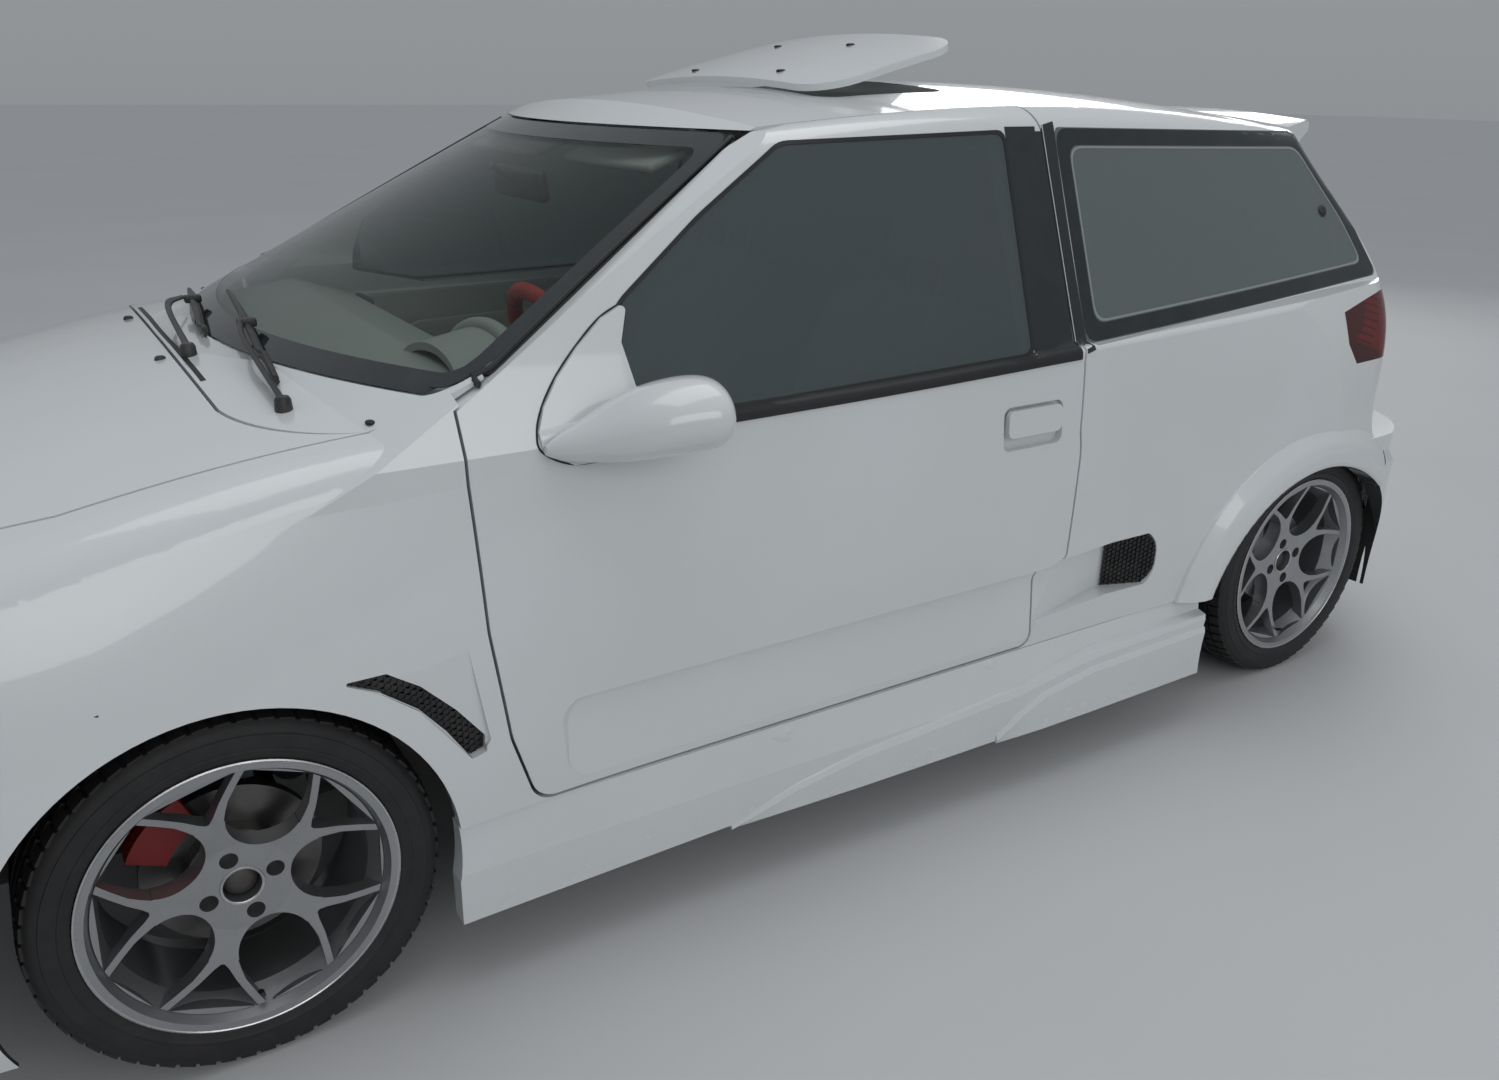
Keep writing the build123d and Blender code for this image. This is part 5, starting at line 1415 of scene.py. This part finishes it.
doorTrim = {
    "card": [(0.640, 0.400), (0.640, 0.830), (0.560, 0.872), (-0.300, 0.880), (-0.395, 0.860),
             (-0.395, 0.520), (-0.320, 0.390)],
    "cloth": [(0.420, 0.620), (0.420, 0.800), (-0.300, 0.815), (-0.300, 0.640)],
    "rest": ((0.230, 0.640), (0.080, 0.655), (-0.230, 0.665)),
    "crank": (0.330, 0.560), "lever": (0.380, 0.735), "speaker": (0.510, 0.500),
    "quarter": [(-0.52, 0.420), (-0.52, 0.875), (-1.26, 0.890), (-1.26, 0.640), (-0.92, 0.620),
                (-0.80, 0.430)],
}


def panelOn(skin, outline, corner, samples, lift, depth):
    # a flat panel with rounded corners and a raised face, lying on a skin
    outside = evenLoop(roundedOutline(outline, corner), samples)
    middle = sum(outside, Vector()) / samples
    steps = [(1.0, lift - depth), (1.0, lift - 0.003), (0.992, lift - 0.0008)]
    steps += [(0.975 * (1 - step / 9), lift) for step in range(9)]
    rings = []
    for scale, rise in steps:
        inside = [middle.lerp(p, scale) for p in outside]
        rings.append([skin.at(q.x, q.y, rise) for q in inside])
    return loft(rings)


card = panelOn(doorInner, doorTrim["card"], 0.05, 120, 0.012, 0.013)
bothSides("door_card", card, "dashPlastic", "{}_door", 40)
cloth = panelOn(doorInner, doorTrim["cloth"], 0.03, 90, 0.018, 0.008)
bothSides("door_cloth", cloth, "seatFabric", "{}_door", 40)
restLine = smoothLine([doorInner.at(x, z, 0.024) for x, z in doorTrim["rest"]], 30)
rest = tube(restLine, [0.012 + 0.014 * sin(pi * k / 29) ** 0.4 for k in range(30)], 18, 0.8)
speaker = stood(lathe([(0.0, 0.003), (0.055, 0.003), (0.062, 0.008), (0.068, 0.008), (0.074, 0.002),
                       (0.074, -0.006), (0.0, -0.006)], 48, False),
                doorInner.at(*doorTrim["speaker"], 0.011), "X", pi)
crankHub = doorInner.at(*doorTrim["crank"], 0.012)
crank = joined(*[tube([crankHub + Vector(start), crankHub + Vector(end)], radius, sides)
                 for start, end, radius, sides in (
                     ((0, 0.006, 0), (0, -0.024, 0), 0.014, 24),
                     ((0, -0.022, 0), (-0.070, -0.026, 0.016), 0.0075, 14),
                     ((-0.070, -0.020, 0.016), (-0.070, -0.048, 0.016), 0.010, 18))])
leverPlace = doorInner.at(*doorTrim["lever"], 0.014)
lever = joined(slab((0.100, 0.006, 0.040), leverPlace, None, 0.0028, 2),
               slab((0.070, 0.012, 0.012), leverPlace + Vector((-0.006, -0.010, 0.004)), None, 0.004, 3))
bothSides("door_fittings", joined(rest, speaker, crank, lever), "darkPlastic", "{}_door", 45)
quarterCard = panelOn(sideInner, doorTrim["quarter"], 0.05, 110, 0.012, 0.013)
bothSides("quarter_card", quarterCard, "dashPlastic", "body", 40)
print("cabin lined")

# Steering wheel

steering = {
    "centre": (0.452, 0.375, 0.880), "tilt": radians(25), "radius": 0.175, "gripRadius": 0.0150,
    "seams": (0.62, 2.52, 3.76, 5.66), "arms": (0.10, pi - 0.10, 1.5 * pi),  # angles round the wheel
}


def torus(radius, thick, steps=96, sides=20):
    section = [2 * pi * i / sides for i in range(sides)]
    ring = lathe([(radius + thick * cos(b), thick * sin(b)) for b in section], steps)
    return moved(ring, Matrix.Rotation(pi / 2, 4, "X"))


def steeringMeshes(setup):
    frameTurn = Matrix.Translation(setup["centre"]) @ Matrix.Rotation(pi / 2 + setup["tilt"], 4, "Y")
    radius = setup["radius"]
    grip = torus(radius, setup["gripRadius"])
    outward = Matrix.Translation((radius, 0, 0)) @ Matrix.Rotation(pi / 2, 4, "X")
    seams = [moved(torus(0.0153, 0.0007, 40, 6), Matrix.Rotation(a, 4, "Z") @ outward)
             for a in setup["seams"]]
    arms = []
    for a in setup["arms"]:
        inner = Vector((cos(a), sin(a), 0)) * 0.040 + Vector((0, 0, -0.012))
        outer = Vector((cos(a), sin(a), 0)) * (radius - 0.006)
        middle = (inner + outer) / 2 + Vector((0, 0, -0.008))
        widths = [0.022 - 0.0007 * k for k in range(16)]
        arms.append(tube(smoothLine([inner, middle, outer], 16), widths, 16, 0.34))
    pad = stood(lathe([(0.0, 0.020), (0.030, 0.019), (0.050, 0.014), (0.060, 0.004), (0.060, -0.010),
                       (0.050, -0.018), (0.0, -0.020)], 48, False), (0, 0, 0))
    dome = stood(lathe([(0.0, 0.0245), (0.012, 0.0235), (0.0175, 0.020), (0.0175, 0.014), (0.0, 0.014)],
                       36, False), (0, 0, 0))
    return [moved(mesh, frameTurn) for mesh in (grip, joined(*seams), joined(*arms, pad), dome)]


grip, seams, arms, dome = steeringMeshes(steering)
wheelGrip = placed("steering_grip", grip, "redLeather", "steering_wheel", 60)
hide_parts("steering_wheel")
placed("steering_seams", seams, "blackTrim", "steering_wheel", 60)
placed("steering_arms", arms, "redLeather", "steering_wheel", 40)
placed("steering_dome", dome, "blackTrim", "steering_wheel", 40)

# Instruments under a cowl, vents, centre stack, glovebox


def dialMesh(radius):
    # an instrument's rim and face, looking along -X, and its needle
    rim = lathe([(radius, 0.0), (radius, 0.006), (radius + 0.003, 0.008), (radius + 0.006, 0.004),
                 (radius + 0.006, -0.004), (0.0, -0.004), (0.0, -0.001), (radius, -0.001)], 56)
    needle = slab((0.0018, 0.0014, radius * 0.8), (0, 0.0035, radius * 0.35), None, 0.0)
    turn = Matrix.Rotation(pi / 2, 4, "Z")
    return moved(rim, turn), moved(needle, turn)


dash = {
    "dials": ((0.435, 0.894, 0.042), (0.335, 0.894, 0.042), (0.385, 0.935, 0.022)),
    "dialX": 0.628, "dialLean": -0.30, "needleTurn": 0.7,
    "vents": ((0.600, 0.855), (-0.600, 0.855), (0.085, 0.845), (-0.085, 0.845)),
    "ventSize": (0.105, 0.060),
    "slats": 6, "slatStep": 0.0088, "slatLean": 0.35,
    "radio": (0.0, 0.74), "radioSize": (0.012, 0.182, 0.052),
    "radioKnobs": (-0.075, 0.075), "heaterKnobs": (-0.055, 0.0, 0.055), "heaterZ": 0.672,
    "glovebox": [(-0.22, 0.66), (-0.58, 0.66), (-0.58, 0.79), (-0.22, 0.79)],
}
cowlLine = [(0.650, 0.232, 0.868), (0.610, 0.252, 0.955), (0.600, 0.385, 0.985), (0.610, 0.518, 0.955),
            (0.650, 0.538, 0.868)]
line = smoothLine(cowlLine, 40)
cowl = tube(line, 0.014, 14)
hoodEdges = [Vector(edge) for edge in ((0, 0, 0), (0.105, 0, -0.020), (0.105, 0, -0.034), (0, 0, -0.012))]
hood = loft([[p + edge for edge in hoodEdges] for p in line])
placed("dash_cowl", joined(cowl, hood), "dashPlastic", "body", 50)
rims, needles = [], []
lean = Matrix.Rotation(dash["dialLean"], 4, "Y")
for y, z, radius in dash["dials"]:
    rim, needle = dialMesh(radius)
    place = Matrix.Translation((dash["dialX"], y, z)) @ lean
    rims.append(moved(rim, place))
    needles.append(moved(needle, place @ Matrix.Rotation(dash["needleTurn"], 4, "X")))
placed("dials", joined(*rims), "darkPlastic", "body", 40)
placed("needles", joined(*needles), "amberLens", "body", 40)
ventParts = []
for y, z in dash["vents"]:
    face = dashRear.at(y, z, 0.0)
    w, h = dash["ventSize"]
    ring = [slab(size, place, None, 0.003) for size, place in (
        ((0.016, w, 0.007), (0, 0, h / 2)), ((0.016, w, 0.007), (0, 0, -h / 2)),
        ((0.016, 0.007, h), (0, w / 2, 0)), ((0.016, 0.007, h), (0, -w / 2, 0)))]
    slats = barRow.grow(Count=dash["slats"], Step=(0.0, 0.0, dash["slatStep"]),
                        Size=(0.012, w - 0.008, 0.0016), Lean=(0.0, dash["slatLean"], 0.0),
                        Finish=looks["darkPlastic"])
    slats.transform(Matrix.Translation((0, 0, -0.022)))
    ventParts.append(moved(joined(*ring, slats), Matrix.Translation(face + Vector((-0.003, 0, 0)))))
placed("dash_vents", joined(*ventParts), "darkPlastic", "body", 40)
stack = dashRear.at(*dash["radio"])
radio = slab(dash["radioSize"], stack + Vector((-0.003, 0, 0.0)), None, 0.003, 2)
heaterKnob = [(0.0, 0.020), (0.013, 0.019), (0.016, 0.014), (0.018, 0.0), (0.0, 0.0)]
radioKnob = [(0.0, 0.014), (0.008, 0.013), (0.010, 0.0), (0.0, 0.0)]
knobs = [stood(lathe(heaterKnob, 28, False), dashRear.at(y, dash["heaterZ"]), "Z")
         for y in dash["heaterKnobs"]]
knobs += [stood(lathe(radioKnob, 24, False), stack + Vector((-0.008, y, 0)), "Z")
          for y in dash["radioKnobs"]]
placed("centre_stack", joined(radio, *knobs), "darkPlastic", "body", 40)
gloveRing = roundedOutline(dash["glovebox"], 0.02)
glove = band(dashRear, gloveRing, inset(gloveRing, 0.003), 120, 1, 0.0006, 0.0012, loop=True)
placed("glovebox_gap", glove, "sealRubber", "body", 40)

# Gear lever, handbrake, pedals, interior mirror, belts

levers = {"gear": (0.42, 0.0), "brake": (-0.02, 0.0)}
tunnelTop = floorTop.at(*levers["gear"])
gaiter = stood(lathe([(0.062, 0.0), (0.056, 0.022), (0.058, 0.030), (0.044, 0.046), (0.046, 0.056),
                      (0.030, 0.074), (0.031, 0.084), (0.012, 0.100), (0.0, 0.100), (0.0, 0.0)], 40, False),
               tunnelTop + Vector((0, 0, 0.01)))
stick = tube([tunnelTop + Vector((0, 0, 0.09)), tunnelTop + Vector((-0.020, 0, 0.205))], 0.006, 14)
stickKnob = stood(lathe([(0.0, 0.026), (0.013, 0.024), (0.021, 0.013), (0.022, 0.0), (0.016, -0.016),
                         (0.009, -0.026), (0.0, -0.026)], 36, False),
                  tunnelTop + Vector((-0.023, 0, 0.222)))
placed("gear_gaiter", gaiter, "sealRubber", "body", 60)
placed("gear_knob", joined(stick, stickKnob), "redLeather", "body", 50)
brakeFoot = floorTop.at(*levers["brake"])
gripLine = smoothLine([brakeFoot + Vector(shift) for shift in
                       ((-0.10, 0, 0.02), (0.02, 0, 0.07), (0.16, 0, 0.12))], 20)
handle = joined(tube(gripLine, [0.013] * 12 + [0.016] * 8, 16),
                slab((0.20, 0.075, 0.040), brakeFoot + Vector((-0.06, 0, 0.016)), None, 0.012, 3))
placed("handbrake", handle, "darkPlastic", "body", 50)
pedals = {"places": ((0.48, 0.40), (0.39, 0.40), (0.30, 0.36)), "padSize": (0.012, 0.055, 0.062),
          "padTilt": -0.5, "padX": 0.700, "armFootX": 0.708, "armTop": (0.765, 0.60)}
pedalParts = []
armTopX, armTopZ = pedals["armTop"]
for y, z in pedals["places"]:
    padTurn = Matrix.Rotation(pedals["padTilt"], 4, "Y")
    pedalParts.append(slab(pedals["padSize"], (pedals["padX"], y, z), padTurn, 0.004, 2))
    pedalParts.append(tube([(pedals["armFootX"], y, z + 0.02), (armTopX, y, armTopZ)], 0.007, 10, 0.6))
placed("pedals", joined(*pedalParts), "blackTrim", "body", 40)
overScreen = {
    "stalkFoot": (0.0, 1.235), "mirrorSize": (0.026, 0.235, 0.062), "mirrorTilt": 0.12,
    "visorSize": (0.145, 0.36, 0.016), "visor": (0.245, 0.25, 1.262), "visorTilt": 0.34,
}
glassTop = frontSkin.at(*overScreen["stalkFoot"], -0.012)
stalk = tube([glassTop + Vector((0.002, 0, 0)), glassTop + Vector((-0.040, 0, -0.028))], 0.007, 12)
mirrorCase = slab(overScreen["mirrorSize"], glassTop + Vector((-0.058, 0, -0.035)),
                  Matrix.Rotation(overScreen["mirrorTilt"], 4, "Y"), 0.012, 4)
visor = slab(overScreen["visorSize"], overScreen["visor"], Matrix.Rotation(overScreen["visorTilt"], 4, "Y"),
             0.0075, 3)
visors = [visor, moved(visor, mirrorY)]
placed("room_mirror", joined(stalk, mirrorCase), "blackTrim", "body", 45)
placed("sun_visors", joined(*visors), "liningCloth", "body", 45)


def beltMesh(points, width=0.046, thick=0.0014):
    # a flat strap along points, its width along the direction given with each point
    line = smoothLine([p for p, _ in points], 40)
    spreads = smoothLine([w for _, w in points], 40)
    rings = []
    for p, w, ahead in zip(line, spreads, line[1:] + [line[-1] * 2 - line[-2]]):
        w = w.normalized() * width / 2
        up = (ahead - p).cross(w).normalized() * thick
        rings.append([p + w, p - w, p - w + up, p + w + up])
    return loft(rings)


beltLine = ((-0.475, 0.640, 1.120), (-0.478, 0.662, 0.900), (-0.475, 0.690, 0.600), (-0.470, 0.700, 0.330))
belt = beltMesh([(Vector(place), Vector((1, 0, 0))) for place in beltLine])
anchor = joined(slab((0.060, 0.020, 0.034), (-0.475, 0.642, 1.128), None, 0.007, 3),
                slab((0.070, 0.030, 0.080), (-0.470, 0.695, 0.300), None, 0.008, 3))
buckle = joined(tube([(-0.12, 0.155, 0.30), (-0.10, 0.160, 0.43)], 0.007, 12),
                slab((0.030, 0.018, 0.060), (-0.098, 0.160, 0.455), None, 0.005, 3))
bothSides("belt", belt, "beltCloth", "body", 50)
bothSides("belt_anchor", joined(anchor, buckle), "blackTrim", "body", 45)
print("cabin fitted")


# Backing plates and honeycomb behind the openings of the nose

nose = {
    "openings": {  # outline in Y and Z, a little larger than the opening in the skin
        "middle": [(-0.440, 0.175), (0.440, 0.175), (0.380, 0.345), (-0.380, 0.345)],
        "slot": [(-0.350, 0.598), (0.350, 0.598), (0.318, 0.697), (-0.318, 0.697)],
        "left": [(0.452, 0.185), (0.708, 0.200), (0.718, 0.336), (0.484, 0.345)],
    },
    "tips": ((0.10, 1.885), (0.572, 1.872), (0.70, 1.815), (0.80, 1.70)),  # Z and X of the foremost line
    "bend": 1.501,  # radius of the nose in plan
    "sunk": 0.030, "cell": 0.0135, "meshX": 2.2,
}


def noseX(y, z):
    # how far forward the nose's skin stands
    for (z0, x0), (z1, x1) in zip(nose["tips"], nose["tips"][1:]):
        if z <= z1:
            tip = x0 + (x1 - x0) * (z - z0) / (z1 - z0)
            break
    return tip - (nose["bend"] - sqrt(nose["bend"] ** 2 - y * y))


def backingMesh(outline, sunk, thickness=0.004, steps=24, rows=8):
    (ya, za), (yb, zb), (yc, zc), (yd, zd) = outline
    verts, faces = [], sheetFaces(steps, rows)
    for depth in (sunk, sunk + thickness):
        for j in range(rows + 1):
            v = j / rows
            for i in range(steps + 1):
                u = i / steps
                y = (ya + (yb - ya) * u) * (1 - v) + (yd + (yc - yd) * u) * v
                z = (za + (zb - za) * u) * (1 - v) + (zd + (zc - zd) * u) * v
                verts.append((noseX(y, z) - depth, y, z))
    width, layer = steps + 1, (steps + 1) * (rows + 1)
    for i in range(steps):
        a, b = i, rows * width + i
        faces += [(a, layer + a, layer + a + 1, a + 1), (b, b + 1, layer + b + 1, layer + b)]
    for j in range(rows):
        a, b = j * width, j * width + steps
        faces += [(a, a + width, layer + a + width, layer + a),
                  (b, layer + b, layer + b + width, b + width)]
    return shaped(verts, faces)


for name, outline in nose["openings"].items():
    backing = backingMesh(outline, nose["sunk"])
    lowY, lowZ = min(p[0] for p in outline), min(p[1] for p in outline)
    highY, highZ = max(p[0] for p in outline), max(p[1] for p in outline)
    count = int((highY - lowY) / (nose["cell"] * 0.866)) + 1
    rows = int((highZ - lowZ) / nose["cell"]) + 1
    hands = [(name, backing, 1)]
    if name == "left":
        hands.append(("right", moved(backing, mirrorY), -1))
    for hand, mesh, side in hands:
        plate = placed(f"nose_backing_{hand}", mesh, "blackTrim", "body", 30)
        start = (nose["meshX"], lowY if side > 0 else -highY, lowZ)
        honeycomb(f"nose_mesh_{hand}", plate, start, (-1.0, 0.0, 0.0), (pi / 2, 0.0, pi / 2), count, rows,
                  nose["cell"])
print("nose meshed")

# Small marks: two runs in the skirt's paint and a stone chip on the wing

marks = {"runs": ((0.260, 0.291, 0.013), (-0.240, 0.299, 0.010)), "chip": (1.303, 0.639, 0.0014)}


def markMesh(x, z, radius, height):
    rings = []
    for scale, rise in ((1.0, -0.0006), (1.0, 0.0), (0.72, height * 0.6), (0.38, height)):
        ring = []
        for k in range(28):
            a = 2 * pi * k / 28
            r = radius * scale * (1 + 0.22 * sin(3 * a + 1) + 0.12 * sin(5 * a))
            ring.append(sideSkin.at(x + 1.8 * r * cos(a), z + r * sin(a), rise))
        rings.append(ring)
    return loft(rings)


runs = [markMesh(x, z, radius, 0.0016) for x, z, radius in marks["runs"]]
placed("paint_runs", joined(*runs), "paint", "body", 60)
placed("stone_chip", markMesh(*marks["chip"], 0.0003), "castIron", "body", 60)


scene.view_settings.view_transform = "Standard"
